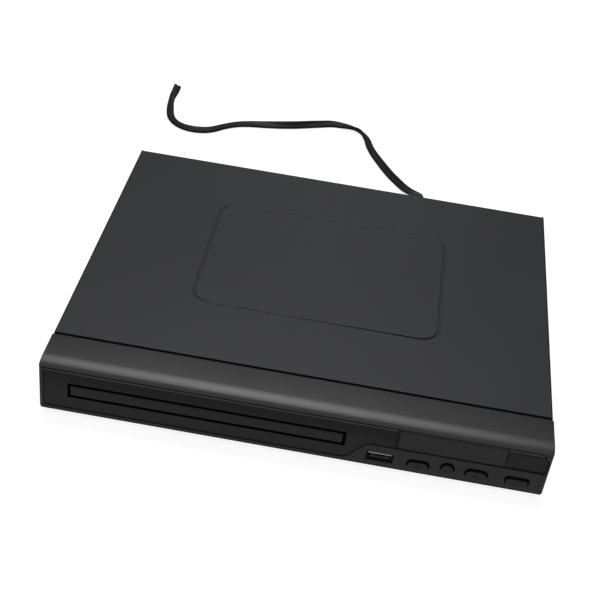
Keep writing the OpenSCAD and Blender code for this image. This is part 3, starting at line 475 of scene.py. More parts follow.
M["receiver_window"] = moulded("receiver_acrylic", (0.0145, 0.0140, 0.0145), 0.2, spread=0.02, tint=0.04, grain=500.0,
                               grain_depth=0.000004, strength=0.08, spec=0.28, big=12.0)
# painted shade: near-black for the strip at the display window's left edge, where the shade of a recessed step falls
M["window_edge_painted_shade"] = moulded("window_edge_painted_shade", (0.0075, 0.0075, 0.0075), 0.45, spread=0.03, tint=0.05, grain=1500.0,
                           grain_depth=0.00001, strength=0.1, spec=0.26, big=20.0)
# painted highlight: a lighter grey for the front panel's rolled top edge, where a bright line of light falls
M["panel_edge_painted_highlight"] = moulded("panel_edge_painted_highlight", (0.068, 0.068, 0.070), 0.36, spread=0.03, tint=0.1, grain=2600.0,
                          grain_depth=0.00002, strength=0.14, spec=0.4, big=40.0)
# painted shade: near-black for the walls of gaps, slots and recesses, where shade falls
M["gap_painted_shade"] = moulded("gap_painted_shade", (0.0028, 0.0028, 0.0028), 0.65, spread=0.05, tint=0.1, grain=1500.0,
                         grain_depth=0.00003, strength=0.2, spec=0.1, big=30.0)
# painted shade: near-black for the bezel's underside and bottom edge, for the shade along the bottom
M["bezel_underside_painted_shade"] = moulded("bezel_underside_painted_shade", (0.0045, 0.0045, 0.0045), 0.6, spread=0.05, tint=0.1, grain=1500.0,
                               grain_depth=0.00003, strength=0.2, spec=0.12, big=20.0)
M["rubber_black"] = moulded("rubber", (0.020, 0.020, 0.020), 0.72, spread=0.08, tint=0.2, grain=1400.0,
                            grain_depth=0.00008, strength=0.4, spec=0.35, big=60.0, dust=0.08)
M["lead_sheath"] = moulded("pvc_sheath", (0.0085, 0.0085, 0.0088), 0.42, spread=0.06, tint=0.1, grain=700.0,
                           grain_depth=0.00005, strength=0.2, spec=0.24, big=60.0, dust=0.02)
M["loader_plastic"] = moulded("loader_abs", (0.016, 0.016, 0.0165), 0.42, spread=0.05, tint=0.12, grain=1500.0,
                              grain_depth=0.00004, strength=0.3, big=30.0)
M["natural_acetal"] = moulded("acetal", (0.72, 0.69, 0.61), 0.35, spread=0.06, tint=0.05, grain=900.0,
                              grain_depth=0.00002, strength=0.2, big=80.0)
M["black_moulding"] = moulded("black_moulding", (0.014, 0.014, 0.0145), 0.5, spread=0.06, tint=0.12, grain=1500.0,
                              grain_depth=0.00005, strength=0.3, big=60.0)
M["capacitor_sleeve"] = moulded("capacitor_sleeve", (0.018, 0.020, 0.055), 0.28, spread=0.05, tint=0.15, grain=300.0,
                                grain_depth=0.00002, strength=0.15, big=90.0)
M["transformer_tape"] = moulded("polyester_tape", (0.72, 0.55, 0.10), 0.3, spread=0.06, tint=0.08, grain=220.0,
                                grain_depth=0.00008, strength=0.3, stretch=(1, 1, 6), big=50.0)
M["ribbon_white"] = moulded("ribbon_film", (0.78, 0.78, 0.76), 0.35, spread=0.05, tint=0.06, grain=420.0,
                            grain_depth=0.00004, strength=0.5, stretch=(1, 1, 1), big=60.0)
M["wire_red"] = moulded("wire_pvc", (0.50, 0.02, 0.015), 0.35, spread=0.05, tint=0.12, grain=500.0,
                        grain_depth=0.00003, strength=0.2, big=90.0)
M["fuse_glass"] = moulded("fuse_glass", (0.62, 0.64, 0.62), 0.08, spread=0.03, tint=0.1, grain=200.0,
                          grain_depth=0.00001, strength=0.1, big=120.0)
M["core_yellow"] = moulded("core_yellow", (0.62, 0.42, 0.03), 0.38, spread=0.05, tint=0.06, grain=900.0,
                           grain_depth=0.00002, strength=0.2, big=90.0)
M["core_white"] = moulded("core_white", (0.66, 0.65, 0.61), 0.38, spread=0.05, tint=0.05, grain=900.0,
                          grain_depth=0.00002, strength=0.2, big=90.0)
M["core_red"] = moulded("core_red", (0.42, 0.02, 0.015), 0.38, spread=0.05, tint=0.06, grain=900.0,
                        grain_depth=0.00002, strength=0.2, big=90.0)
M["lens_glass"] = moulded("lens_glass", (0.05, 0.08, 0.16), 0.05, spread=0.02, tint=0.2, grain=200.0,
                          grain_depth=0.000005, strength=0.05, spec=0.8, big=200.0)
M["zinc_plated_steel"] = metal("zinc_plate", (0.56, 0.57, 0.58), 0.36, stretch=(1, 14, 1), grain=160.0, spots=0.25,
                               spot_color=(0.42, 0.42, 0.40))
M["screw_steel"] = metal("black_zinc", (0.09, 0.09, 0.095), 0.34, grain=700.0, spots=0.3, spot_color=(0.05, 0.05, 0.05))
M["motor_can"] = metal("motor_can", (0.62, 0.62, 0.61), 0.28, stretch=(1, 1, 1), grain=400.0, spots=0.15)
M["ground_steel"] = metal("ground_steel", (0.66, 0.66, 0.67), 0.16, spread=0.04, stretch=(20, 1, 20), grain=300.0)
M["socket_shell"] = metal("nickel_shell", (0.84, 0.83, 0.80), 0.24, spread=0.06, stretch=(8, 1, 8), grain=300.0, tint=0.12)
M["contact_gold"] = metal("gold_flash", (0.62, 0.44, 0.16), 0.22, spread=0.05, stretch=(1, 8, 1), grain=500.0)
M["green_board"] = board("green_board", (0.012, 0.07, 0.03), (0.62, 0.60, 0.55))
M["paper_board"] = board("paper_board", (0.28, 0.16, 0.06), (0.58, 0.57, 0.54), cell=300.0)


# ------------------------------------------------------------------ mains lead
LEAD = [
    (54, 130, 15.5, 0), (54, 137, 15, 0), (53.4, 143.8, 13, 0), (51.8, 150.2, 10, 4), (49.2, 156.4, 6.9, 10),
    (46, 162.4, 4.5, 16), (42.4, 168.4, 3, 22), (38.4, 174.4, 2.5, 26), (33.4, 181.4, 2.4, 28), (28.2, 189.8, 2.3, 26),
    (22.4, 200.6, 2.1, 16), (17.2, 211.2, 1.7, 2), (13.4, 220.4, 2, -12), (11.3, 227.4, 2.3, -24), (8.2, 233.8, 2.6, -38),
    (3.6, 239.3, 2.7, -44), (-2.8, 243.1, 2.2, -20), (-10.4, 244.7, 1.8, 4), (-18.2, 243.7, 2.2, 20), (-26, 240.4, 2.4, 31),
    (-34, 236.8, 2.6, 40), (-44, 232.4, 2.7, 50), (-55, 228.8, 2.6, 44), (-67, 226, 2.2, 24), (-79, 223.6, 1.8, 8),
    (-88, 220.2, 1.6, 0), (-96.4, 214.2, 1.6, -4), (-103.6, 207.6, 1.6, 4), (-110, 203.8, 1.8, 10), (-117.6, 202.4, 1.9, 12),
    (-125.2, 203.8, 1.7, 4), (-131.8, 207.6, 1.7, -4), (-136.6, 213.4, 1.9, -12), (-139.2, 220.4, 2.1, -22), (-140.8, 228, 2.6, -38),
    (-142, 236, 2.9, -60), (-142.8, 244, 3, -66), (-142.7, 251.5, 2.8, -50), (-142.8, 258, 2.4, -30), (-143, 263, 2.1, -20)]
LEAD_W, LEAD_T = 6.0, 2.9


def lead_points(k):
    p = [np.array(q, float) for q in LEAD]
    n = len(p)
    out = []
    for i in range(n - 1):
        p0, p1, p2, p3 = p[max(i - 1, 0)], p[i], p[i + 1], p[min(i + 2, n - 1)]
        for j in range(k):
            t = j / k
            out.append(0.5 * (2 * p1 + (p2 - p0) * t + (2 * p0 - 5 * p1 + 4 * p2 - p3) * t * t
                              + (3 * p1 - p0 - 3 * p2 + p3) * t ** 3))
    out.append(p[-1])
    return out


def twin_section():
    """Outline of the flat twin lead: two round cores side by side, with a groove along the middle of each flat side."""
    r = LEAD_T / 2
    c = LEAD_W / 2 - r
    right = arc(c, 0, r, -118, 118, 14)
    left = arc(-c, 0, r, 62, 298, 14)
    return [(0.0, -r * 0.72)] + right + [(0.0, r * 0.72)] + left


def frames(pts):
    out = []
    for i, q in enumerate(pts):
        d = pts[min(i + 1, len(pts) - 1)][:3] - pts[max(i - 1, 0)][:3]
        d = d / np.linalg.norm(d)
        s = np.cross(d, (0, 0, 1.0))
        s = s / np.linalg.norm(s)
        u = np.cross(s, d)
        a = math.radians(q[3])
        out.append((q[:3], d, s * math.cos(a) + u * math.sin(a), u * math.cos(a) - s * math.sin(a)))
    return out


def mains_lead():
    pts = lead_points(6)
    fr = frames(pts)
    sec = twin_section()
    bm = bmesh.new()
    rings = [[Vector((c + w * x + t * y) * MM) for x, y in sec] for c, d, w, t in fr]
    c, d, w, t = fr[-1]
    loft(bm, rings)
    bmesh.ops.recalc_face_normals(bm, faces=bm.faces)
    ob = new_object("mains_lead", bm)
    smooth(ob, 40)
    # copper strands in the cut end
    bm = bmesh.new()
    for s in (-1, 1):
        mid = c + w * (s * (LEAD_W / 2 - LEAD_T / 2))
        rings = []
        for dist, r in ((-0.6, 0.62), (0.10, 0.62), (0.16, 0.5)):
            rings.append([Vector((mid + d * dist + (w * math.cos(a) + t * math.sin(a)) * r) * MM)
                          for a in [2 * math.pi * k / 20 for k in range(20)]])
        loft(bm, rings)
    bmesh.ops.recalc_face_normals(bm, faces=bm.faces)
    cores = new_object("lead_cores", bm)
    smooth(cores, 40)
    put(ob, M["lead_sheath"], "player", "lead_sheath", "power_cord")
    put(cores, M["lead_copper"], "player", "lead_sheath")


M["lead_copper"] = metal("copper_strands", (0.42, 0.22, 0.13), 0.4, grain=3000.0, depth=0.0002, strength=0.6)
mains_lead()


# ------------------------------------------------------------------ top cover
CX, REAR, ZT, CY0 = 135.0, 223.0, 35.0, 26.35
BEND = 1.2


def top_cover():
    """The folded steel cover: its top with the pressed groove, its two sides, and the lip over the rear panel."""
    bm = bmesh.new()
    hx, hy, c = 141.8 / 2, 103.5 / 2, 11.0
    mx, my = 0.4, 125.15
    n_corner, n_x, n_y = 16, 24, 18
    # across the groove: distance from its middle line, and height below the sheet
    groove = [(-0.86, 0.0), (-0.76, 0.015), (-0.68, 0.06), (-0.6, 0.16), (-0.53, 0.31), (-0.46, 0.42), (-0.36, 0.485), (-0.2, 0.5),
              (0.2, 0.5), (0.36, 0.485), (0.46, 0.42), (0.53, 0.31), (0.6, 0.16), (0.68, 0.06), (0.76, 0.015), (0.86, 0.0)]
    groove = [(d * 1.3, z) for d, z in groove]
    wide = groove[-1][0]

    def ring_points(d):
        """Rounded rectangle moved outwards by d, always with the same number of points."""
        out = []
        r = c + d
        x, y = hx + d, hy + d
        corners = [(x - r, y - r, 0), (-x + r, y - r, 90), (-x + r, -y + r, 180), (x - r, -y + r, 270)]
        for k, (ax, ay, a0) in enumerate(corners):
            for i in range(n_corner + 1):
                a = math.radians(a0 + 90 * i / n_corner)
                out.append((mx + ax + r * math.cos(a), my + ay + r * math.sin(a)))
            bx, by, _ = corners[(k + 1) % 4]
            a = math.radians(a0 + 90)
            p = (ax + r * math.cos(a), ay + r * math.sin(a))
            q = (bx + r * math.cos(a), by + r * math.sin(a))
            m = n_x if k % 2 == 0 else n_y
            for i in range(1, m):
                t = i / m
                out.append((mx + p[0] + (q[0] - p[0]) * t, my + p[1] + (q[1] - p[1]) * t))
        return out

    def deep(x, y):
        """The pressing is deeper along the front run, most of all towards its right end, and shallow along its two sides."""
        t = min(1.0, max(0.0, (my - hy + 16 - y) / 18))
        side = min(1.0, max(0.0, (hy - abs(y - my)) / 14))
        return (1.0 - 0.5 * side * side * (3 - 2 * side)
                + t * t * (3 - 2 * t) * (0.1 + 0.75 * min(1.0, max(0.0, (x + 10) / 60))))

    rings = [[bm.verts.new(P(x, y, ZT - z * deep(x, y))) for x, y in ring_points(d)] for d, z in groove]
    n = len(rings[0])
    for a, b in zip(rings, rings[1:]):
        for i in range(n):
            j = (i + 1) % n
            bm.faces.new((a[i], b[i], b[j], a[j]))
    bm.faces.new(rings[0])
    # the flat area outside the groove: each point of the outer ring has its own point on the edge
    x0, x1, y0, y1 = -CX + BEND, CX - BEND, CY0, REAR - 1.0
    edge = []
    outer = ring_points(wide)
    for x, y in outer:
        # direction from the middle of the nearest side, so that straight runs go straight out
        rx, ry = x - mx, y - my
        ax, ay = hx - c, hy - c
        ux = 0.0 if abs(rx) <= ax + 1e-6 else (rx - math.copysign(ax, rx))
        uy = 0.0 if abs(ry) <= ay + 1e-6 else (ry - math.copysign(ay, ry))
        ln = math.hypot(ux, uy)
        ux, uy = ux / ln, uy / ln
        m = max(abs(ux), abs(uy))
        qx = x + ux / m * 400
        qy = y + uy / m * 400
        # corner points run along the edges to the corner of the sheet
        if abs(ux) > 1e-6 and abs(uy) > 1e-6:
            ang = math.atan2(abs(uy), abs(ux)) / (math.pi / 2)
            cx_, cy_ = (x1 if ux > 0 else x0), (y1 if uy > 0 else y0)
            sx, sy_ = mx + math.copysign(ax, ux), my + math.copysign(ay, uy)
            if ang <= 0.5:
                t = ang / 0.5
                qx, qy = cx_, sy_ + (cy_ - sy_) * t
            else:
                t = (1 - ang) / 0.5
                qx, qy = sx + (cx_ - sx) * t, cy_
        else:
            qx = min(max(qx, x0), x1)
            qy = min(max(qy, y0), y1)
        edge.append(bm.verts.new(P(qx, qy, ZT)))
    for i in range(n):
        j = (i + 1) % n
        bm.faces.new((rings[-1][i], edge[i], edge[j], rings[-1][j]))
    bm.verts.ensure_lookup_table()

    def along(test):
        return [v for v in edge if test(v.co)]

    # bends and sides
    for s in (-1, 1):
        xe = s * (CX - BEND) * MM
        row = sorted(along(lambda p: abs(p.x - xe) < 1e-7), key=lambda v: v.co.y)
        # the sides run on to the rear edge past the rear bend
        tail = bm.verts.new((xe, (REAR + YF) * MM, ZT * MM))
        bm.verts.index_update()
        row.append(tail)
        prev = row
        for k in range(1, 11):
            a = math.radians(90 * k / 10)
            x = s * (CX - BEND + BEND * math.sin(a)) * MM
            z = (ZT - BEND + BEND * math.cos(a)) * MM
            cur = [bm.verts.new((x, v.co.y, z)) for v in row]
            for i in range(len(row) - 1):
                f = (prev[i], cur[i], cur[i + 1], prev[i + 1])
                bm.faces.new(f if s < 0 else tuple(reversed(f)))
            prev = cur
        for z in (24.0, 14.0, 4.0):
            cur = [bm.verts.new((v.co.x, v.co.y, z * MM)) for v in prev]
            for i in range(len(row) - 1):
                f = (prev[i], cur[i], cur[i + 1], prev[i + 1])
                bm.faces.new(f if s < 0 else tuple(reversed(f)))
            prev = cur
    # rear bend and lip
    ye = (REAR - 1.0 + YF) * MM
    row = sorted(along(lambda p: abs(p.y - ye) < 1e-7), key=lambda v: v.co.x)
    prev = row
    for k in range(1, 9):
        a = math.radians(90 * k / 8)
        y = (REAR - 1.0 + math.sin(a) + YF) * MM
        z = (ZT - 1.0 + math.cos(a)) * MM
        cur = [bm.verts.new((v.co.x, y, z)) for v in row]
        for i in range(len(row) - 1):
            bm.faces.new((prev[i], prev[i + 1], cur[i + 1], cur[i]))
        prev = cur
    cur = [bm.verts.new((v.co.x, v.co.y, 26.5 * MM)) for v in prev]
    for i in range(len(row) - 1):
        bm.faces.new((prev[i], prev[i + 1], cur[i + 1], cur[i]))
    bmesh.ops.recalc_face_normals(bm, faces=bm.faces)
    up = [f for f in bm.faces if abs(f.normal.z) > 0.99 and f.calc_center_median().z > 0.0345]
    if sum(f.normal.z for f in up) < 0:
        bmesh.ops.reverse_faces(bm, faces=bm.faces)
    ob = new_object("cover_sheet", bm)
    m = ob.modifiers.new("sheet", "SOLIDIFY")
    m.thickness = 0.8 * MM
    m.offset = -1.0
    m.use_even_offset = True
    apply_modifiers(ob)
    smooth(ob, 40)
    put(ob, M["black_painted_steel"], BODY_OF["top_cover"], "black_painted_steel", "top_cover")
    # painted shade: a darker paint in the pressing, darkest along its front run, stands for the shade in the groove; a
    # near-black paint on the two side bends draws a dark shade line along them
    ob.data.materials.append(M["groove_painted_shade"])
    ob.data.materials.append(M["bend_painted_shade"])
    for f in ob.data.polygons:
        c = f.center * 1000
        x, y = abs(c.x - mx), abs(c.y - YF - my)
        if x < hx + 1 and y < hy + 1 and c.z < ZT - 0.12:
            f.material_index = 1
        elif f.normal.z > -0.2 and abs(f.normal.x) > 0.25 and c.z > ZT - BEND - 0.1:
            f.material_index = 2
    return ob


top_cover()

# ------------------------------------------------------------------ front bezel
BX, ZB, STRIP, ZC = 135.5, 3.5, 24.5, 31.5
ROLL_TOP, ROLL_FALL, CREASE = 22.0, 20.0, 33.5
ROLL_LOW = (3.5 - ROLL_TOP * (1 - math.cos(math.radians(ROLL_FALL)))) / (math.cos(math.radians(ROLL_FALL)) - math.sin(math.radians(CREASE)))
ROLL_C = (ROLL_LOW * math.cos(math.radians(CREASE)), ZT - ROLL_TOP + (ROLL_TOP - ROLL_LOW) * math.cos(math.radians(ROLL_FALL)))
ROLL_Y = ROLL_C[0] + (ROLL_TOP - ROLL_LOW) * math.sin(math.radians(ROLL_FALL))
# the strip behind the roll is slightly crowned: it falls by CROWN degrees from the seam to the roll
CROWN = 3.0
CROWN_Y = ROLL_Y - ROLL_TOP * math.sin(math.radians(CROWN))
CROWN_R = (STRIP - CROWN_Y) / math.sin(math.radians(CROWN))
DROP = (CROWN_R - ROLL_TOP) * (1 - math.cos(math.radians(CROWN)))
PANEL = (arc(-132.0, 6.9, 0.9, 180, 270, 6)
         + [(26.6, 6.0), (27.9, 6.06), (29.2, 6.4), (30.4, 7.2), (38.2, 15.9), (39.2, 16.9), (40.4, 17.7), (42.2, 18.2), (134.2, 18.2),
            (134.2, 27.2), (130.6, 31.65), (-132.9, 31.65)])


def dense(pts, step=0.35):
    """The outline with extra points on its long straight runs."""
    out = []
    for p, q in zip(pts, pts[1:] + pts[:1]):
        n = max(1, int(math.hypot(q[0] - p[0], q[1] - p[1]) / step))
        out += [(p[0] + (q[0] - p[0]) * i / n, p[1] + (q[1] - p[1]) * i / n) for i in range(n)]
    return out


KEY_CAPS = {
    "eject_button": dense(round_rect(62.9, 74.0, 6.2, 11.05, 2.4, 10)),
    "play_button": circle(83.85, 9.6, 3.3, 64),
    "stop_button": dense(round_rect(93.75, 104.8, 6.4, 11.7, 2.3, 10)),
    "power_button": dense(round_rect(115, 126.4, 6, 11.3, 1.0, 8)),
}


def key_hole(outline):
    """The recess round a key: wide above it, and closing to a hair's width under it."""
    z0, z1 = min(z for _, z in outline), max(z for _, z in outline)
    n = len(outline)
    out = []
    for i in range(n):
        p0, p1, p2 = outline[i - 1], outline[i], outline[(i + 1) % n]
        e = Vector((p2[0] - p0[0], p2[1] - p0[1])).normalized()
        nx, nz = e.y, -e.x
        t = min(1.0, max(0.0, ((p1[1] - z0) / (z1 - z0) - 0.18) / 0.5))
        t = t * t * (3 - 2 * t)
        up = max(0.0, nz)
        d = 0.09 + t * (0.75 + 1.2 * up * up)
        out.append((p1[0] + nx * d, p1[1] + nz * d))
    return out


def bezel_profile():
    pts = [(0.0, ZB + 0.66), (0.07, ZB + 0.6), (0.07, ZB + 0.15), (0.12, ZB + 0.04), (0.25, ZB)]
    pts += [(STRIP, ZB), (STRIP, ZT - 0.35)]
    pts += arc(STRIP - 0.35, ZT - 0.35, 0.35, 0, 90, 4)[1:]
    pts += arc(STRIP, ZT - CROWN_R, CROWN_R, 90.4, 90 + CROWN, 12)
    pts += arc(ROLL_Y, ZT - DROP - ROLL_TOP, ROLL_TOP, 90 + CROWN, 90 + ROLL_FALL, 18)[1:]
    pts += arc(ROLL_C[0], ROLL_C[1] - DROP, ROLL_LOW, 90 + ROLL_FALL, 180 - CREASE, 24)[1:]
    return pts


def prism_x(name, pts, x0, x1, cuts=1):
    bm = bmesh.new()
    rings = [[P(x0 + (x1 - x0) * i / cuts, y, z) for y, z in pts] for i in range(cuts + 1)]
    loft(bm, rings)
    bmesh.ops.recalc_face_normals(bm, faces=bm.faces)
    return new_object(name, bm)


def prism_z(name, pts, z0, z1):
    bm = bmesh.new()
    loft(bm, [[P(x, y, z) for x, y in pts] for z in (z0, z1)])
    bmesh.ops.recalc_face_normals(bm, faces=bm.faces)
    return new_object(name, bm)


def front_bezel():
    ob = prism_x("bezel", bezel_profile(), -BX, BX)
    boolean(ob, prism_z("plan", round_rect(-BX, BX, 0, 40, (0, 0, 1.6, 1.6), 10), 0, 40), "INTERSECT")
    boolean(ob, front_solid("front_view", round_rect(-BX, BX, ZB, ZT, (1.2, 1.2, 2.2, 1.6), 10), -2, 40), "INTERSECT")
    boolean(ob, box("ledge", -CX + 0.9, CX - 0.9, 20, 30, 5, ZT - 0.9), "UNION")
    boolean(ob, box("c1", -BX + 2.2, BX - 2.2, 4.5, 20, ZB + 2.2, ZT - 2.2))
    boolean(ob, box("c2", -CX + 2.7, CX - 2.7, 19.9, 31, 3, ZT - 2.8))
    boolean(ob, box("c3", -BX + 2.2, BX - 2.2, 10.3, STRIP + 1, ZB - 1, 6))
    grown = [(x, min(z, 31.74)) for x, z in offset_outline(PANEL, 0.2)]
    boolean(ob, front_cutter("c4", grown, -2, 2.5))
    boolean(ob, box("c5", 36, BX - 2.2, 2.2, 5, ZB + 1.5, 17.4))
    boolean(ob, box("c6", -120.65, 29.35, 0, 6, 13.3, 23.75))
    boolean(ob, box("c7", 58, 111, 0, 6, 20, 30))
    boolean(ob, front_cutter("c8", circle(120, 23, 3, 40), 0, 6))
    for outline in KEY_CAPS.values():
        boolean(ob, front_cutter("c9", key_hole(outline), -1, 4))
    boolean(ob, front_cutter("c10", round_rect(40.6, 55.1, 7.2, 13.2, 0.25, 3), -1, 6))
    tidy(ob)
    bevel(ob, 0.16, 2, 42)
    smooth(ob, 30)
    put(ob, M["bezel_plastic"], BODY_OF["front_bezel"], "bezel_plastic", "front_bezel")
    # painted shade: the underside and its bottom edge are near-black and matt, a dark shade line along the bottom
    ob.data.materials.append(M["bezel_underside_painted_shade"])
    # painted shade: the step under the cover and the recess walls behind the panel are near-black, for the shade in
    # these gaps
    ob.data.materials.append(M["gap_painted_shade"])
    for f in ob.data.polygons:
        y, z = f.center.y * 1000 - YF, f.center.z * 1000
        if z < 4.13:
            f.material_index = 1
        elif (y > STRIP - 0.1 and z < ZT - 0.4) or (0.9 < y < 5 and f.normal.z < 0.3 and 5.5 < z < 31.9):
            f.material_index = 2
    return ob


front_bezel()


RECEIVER = [(113.2, 18.6), (133.5, 18.6), (133.5, 26.4), (131.9, 28.35), (113.2, 28.35)]


def roll_top(ob):
    """Rolls a front piece's top edge back from the crease."""
    roll = [(0.0, 33), (2.0, 33), (2.0, 30.8), (1.3, 30.79), (1.15, 30.74), (1.0, 30.62), (0.78, 30.4), (0.6, 30.2), (0.53, 30.05), (0.5, 29.85), (0.0, 29.85)]
    boolean(ob, prism_x("roll", [(y, z) for y, z in reversed(roll)], -140, 140))
    tidy(ob)


def front_panel():
    ob = front_solid("panel", [(x, min(z, 30.8)) for x, z in PANEL], 0.5, 2.5)
    boolean(ob, box("p1", -120.1, 28.8, -1, 4, 13.7, 23.35))
    boolean(ob, box("p2", 54.8, 112.5, -1, 4, 18.42, 31.5))
    boolean(ob, front_cutter("p3", offset_outline(RECEIVER, 0.12), -1, 4))
    roll_top(ob)
    bevel(ob, 0.12, 2, 46)
    smooth(ob, 30)
    put(ob, M["panel_plastic"], BODY_OF["front_panel"], "panel_plastic", "front_panel")
    ob.data.materials.append(M["panel_edge_painted_highlight"])
    ob.data.materials.append(M["gap_painted_shade"])
    # painted highlight on the front of the rolled top edge; painted shade on the top behind it and on the walls of the
    # tray slot
    for f in ob.data.polygons:
        x, y, z = f.center.x * 1000, f.center.y * 1000 - YF, f.center.z * 1000
        if z > 29.9 and y < 0.95 and f.normal.y < -0.2 and f.normal.z > 0.2:
            f.material_index = 1
        elif z > 30.55 and y > 0.95:
            f.material_index = 2
        elif -120.4 < x < 29.1 and 13.7 < z < 23.6 and f.normal.y > -0.6:
            f.material_index = 2
    return ob


front_panel()
pane = front_solid("display_pane", round_rect(56.2, 112.3, 18.5, 30.75, 0.3, 3), 0.5, 2.1, edge=0.15)
roll_top(pane)
put(smooth(pane, 30), M["smoked_window"], BODY_OF["display_window"], "smoked_window", "display_window")
# painted shade: a near-black strip along the display window's left edge stands for the shade of a recessed step
mask = front_solid("display_edge_painted_shade", round_rect(54.9, 56.12, 18.5, 30.75, 0.25, 3), 0.62, 2.1, edge=0.15)
roll_top(mask)
put(smooth(mask, 30), M["window_edge_painted_shade"], BODY_OF["display_window"], "smoked_window")
put(smooth(front_solid("receiver_pane", RECEIVER, 0.7, 2.3, edge=0.15)),
    M["receiver_window"], BODY_OF["ir_window"], "smoked_window", "ir_window")
flap = put(smooth(front_solid("flap", round_rect(-118.5, 27.05, 15.35, 21.65, 0.35, 4), 0.5, 3.0, edge=0.2)),
           M["panel_plastic"], BODY_OF["tray_flap"], SLOT_OF["tray_flap"], "tray_flap")
flap.data.materials.append(M["gap_painted_shade"])
# painted shade on the flap's side faces
for f in flap.data.polygons:
    if abs(f.normal.y) < 0.5:
        f.material_index = 1


# ------------------------------------------------------------------ USB socket
def usb_socket():
    """The shell with its rolled upper lip and painted shade inside it, the tongue in its lower half, and the four
    contacts on it.
    """
    shell = front_solid("usb_shell_sheet", round_rect(41.3, 54.4, 7.35, 13.05, 0.5, 5), 0.6, 12.3)
    lip = prism_x("lip", [(0.75, 12.4)] + arc(0.75, 12.4, 0.65, 180, 90, 6) + [(2.0, 13.05), (2.0, 12.4)], 41.8, 53.9)
    boolean(shell, lip, "UNION")
    boolean(shell, front_cutter("s1", round_rect(41.6, 54.1, 7.65, 12.4, 0.3, 4), 0.3, 11.8))
    boolean(shell, front_cutter("s2", round_rect(41.6, 54.1, 7.65, 12.75, 0.3, 4), 1.6, 11.8))
    tidy(shell)
    drop_specks(shell)
    smooth(shell, 35)
    put(shell, M["socket_shell"], BODY_OF["usb_shell"], "socket_shell", "usb_shell")
    # painted shade: everything but the lip gets a dull dark non-metal paint that stands for the shell in shade
    shell.data.materials.append(M["socket_painted_shade"])
    for f in shell.data.polygons:
        c = f.center
        inner = 41.5 < c.x * 1000 < 54.2 and 7.5 < c.z * 1000 < 12.8 and c.y * 1000 - YF > 0.4
        front = abs(f.normal.y) > 0.9 and c.z * 1000 < 12.4
        if (inner and f.normal.z > -0.5) or front:
            f.material_index = 1
    tongue = front_solid("usb_tongue_moulding", round_rect(42.3, 53.4, 8.3, 10.0, 0.35, 3), 1.1, 11.7, edge=0.25)
    back = front_solid("usb_back", round_rect(41.7, 54.0, 7.75, 12.65, 0.2, 3), 10.4, 11.7)
    for p in tongue.data.polygons:
        p.use_smooth = True
    bm = bmesh.new()
    bm.from_mesh(tongue.data)
    bm.from_mesh(back.data)
    old = tongue.data
    me = bpy.data.meshes.new("usb_tongue_moulding")
    bm.to_mesh(me)
    bm.free()
    tongue.data = me
    bpy.data.meshes.remove(old)
    bpy.data.objects.remove(back, do_unlink=True)
    smooth(tongue, 35)
    put(tongue, M["tongue_plastic"], BODY_OF["usb_tongue"], SLOT_OF["usb_tongue"], "usb_tongue")
    bm = bmesh.new()
    for x in (44.35, 46.85, 48.85, 51.35):
        y0 = 1.5 if abs(x - 47.85) > 2 else 2.5
        prof = [(y0, 10.0), (y0 + 0.05, 10.12), (y0 + 0.2, 10.2), (10.3, 10.2), (10.3, 10.0)]
        rings = [[P(xx, y, z) for y, z in prof] for xx in (x - 0.5, x + 0.5)]
        loft(bm, rings)
    bmesh.ops.recalc_face_normals(bm, faces=bm.faces)
    pads = new_object("usb_contact_pads", bm)
    smooth(pads, 35)
    put(pads, M["contact_gold"], BODY_OF["usb_contacts"], SLOT_OF["usb_contacts"], "usb_contacts")


# painted shade: a dull dark non-metal that stands for the socket's shell in shade
M["socket_painted_shade"] = moulded("socket_painted_shade", (0.0115, 0.0115, 0.0108), 0.45, spread=0.05, tint=0.12, grain=900.0,
                             grain_depth=0.00002, strength=0.2, big=120.0)
M["tongue_plastic"] = moulded("tongue_plastic", (0.013, 0.0135, 0.0115), 0.4, spread=0.05, tint=0.12, grain=900.0,
                              grain_depth=0.00002, strength=0.2, big=120.0)


# ------------------------------------------------------------------ keys
def key(node, outline):
    """A key's cap with a rolled front edge, and its flange and stem from the CAD node behind it."""
    cap = front_solid(node + "_cap", outline, -0.6, 2.5, edge=0.55, steps=6)
    back = from_cad(node, "stem")
    big = box("cut_stem", 40, 140, 2.4, 20, 0, 30)
    boolean(back, big, "INTERSECT")
    bm = bmesh.new()
    bm.from_mesh(cap.data)
    bm.from_mesh(back.data)
    old = cap.data
    me = bpy.data.meshes.new(node + "_cap")
    bm.to_mesh(me)
    bm.free()
    cap.data = me
    bpy.data.meshes.remove(old)
    bpy.data.objects.remove(back, do_unlink=True)
    smooth(cap, 35)
    return put(cap, M["key_plastic"], BODY_OF[node], SLOT_OF[node], node)


M["key_plastic"] = moulded("key_abs", (0.0150, 0.0150, 0.0155), 0.34, spread=0.02, tint=0.05, grain=2600.0,
                           grain_depth=0.00002, strength=0.12, spec=0.45, big=40.0)
for name, outline in KEY_CAPS.items():
    key(name, outline)


def bars(bm, outline, y0, y1):
    rings = [[P(x, y, z) for x, z in outline] for y in (y0, y1)]
    loft(bm, rings)


def symbol(name, node, outlines):
    """A symbol that stands 0.05 mm proud of the key's face."""
    bm = bmesh.new()
    for o in outlines:
        bars(bm, o, -0.65, -0.5)
    bmesh.ops.recalc_face_normals(bm, faces=bm.faces)
    ob = new_object(name, bm)
    smooth(ob, 30, weighted=False)
    return put(ob, M["symbol_ink"], BODY_OF[node], SLOT_OF[node])


def ring_outlines(cx, cz, r, w, a0, a1, n=24):
    """An open ring as one outline."""
    return [arc(cx, cz, r + w / 2, a0, a1, n) + list(reversed(arc(cx, cz, r - w / 2, a0, a1, n)))]


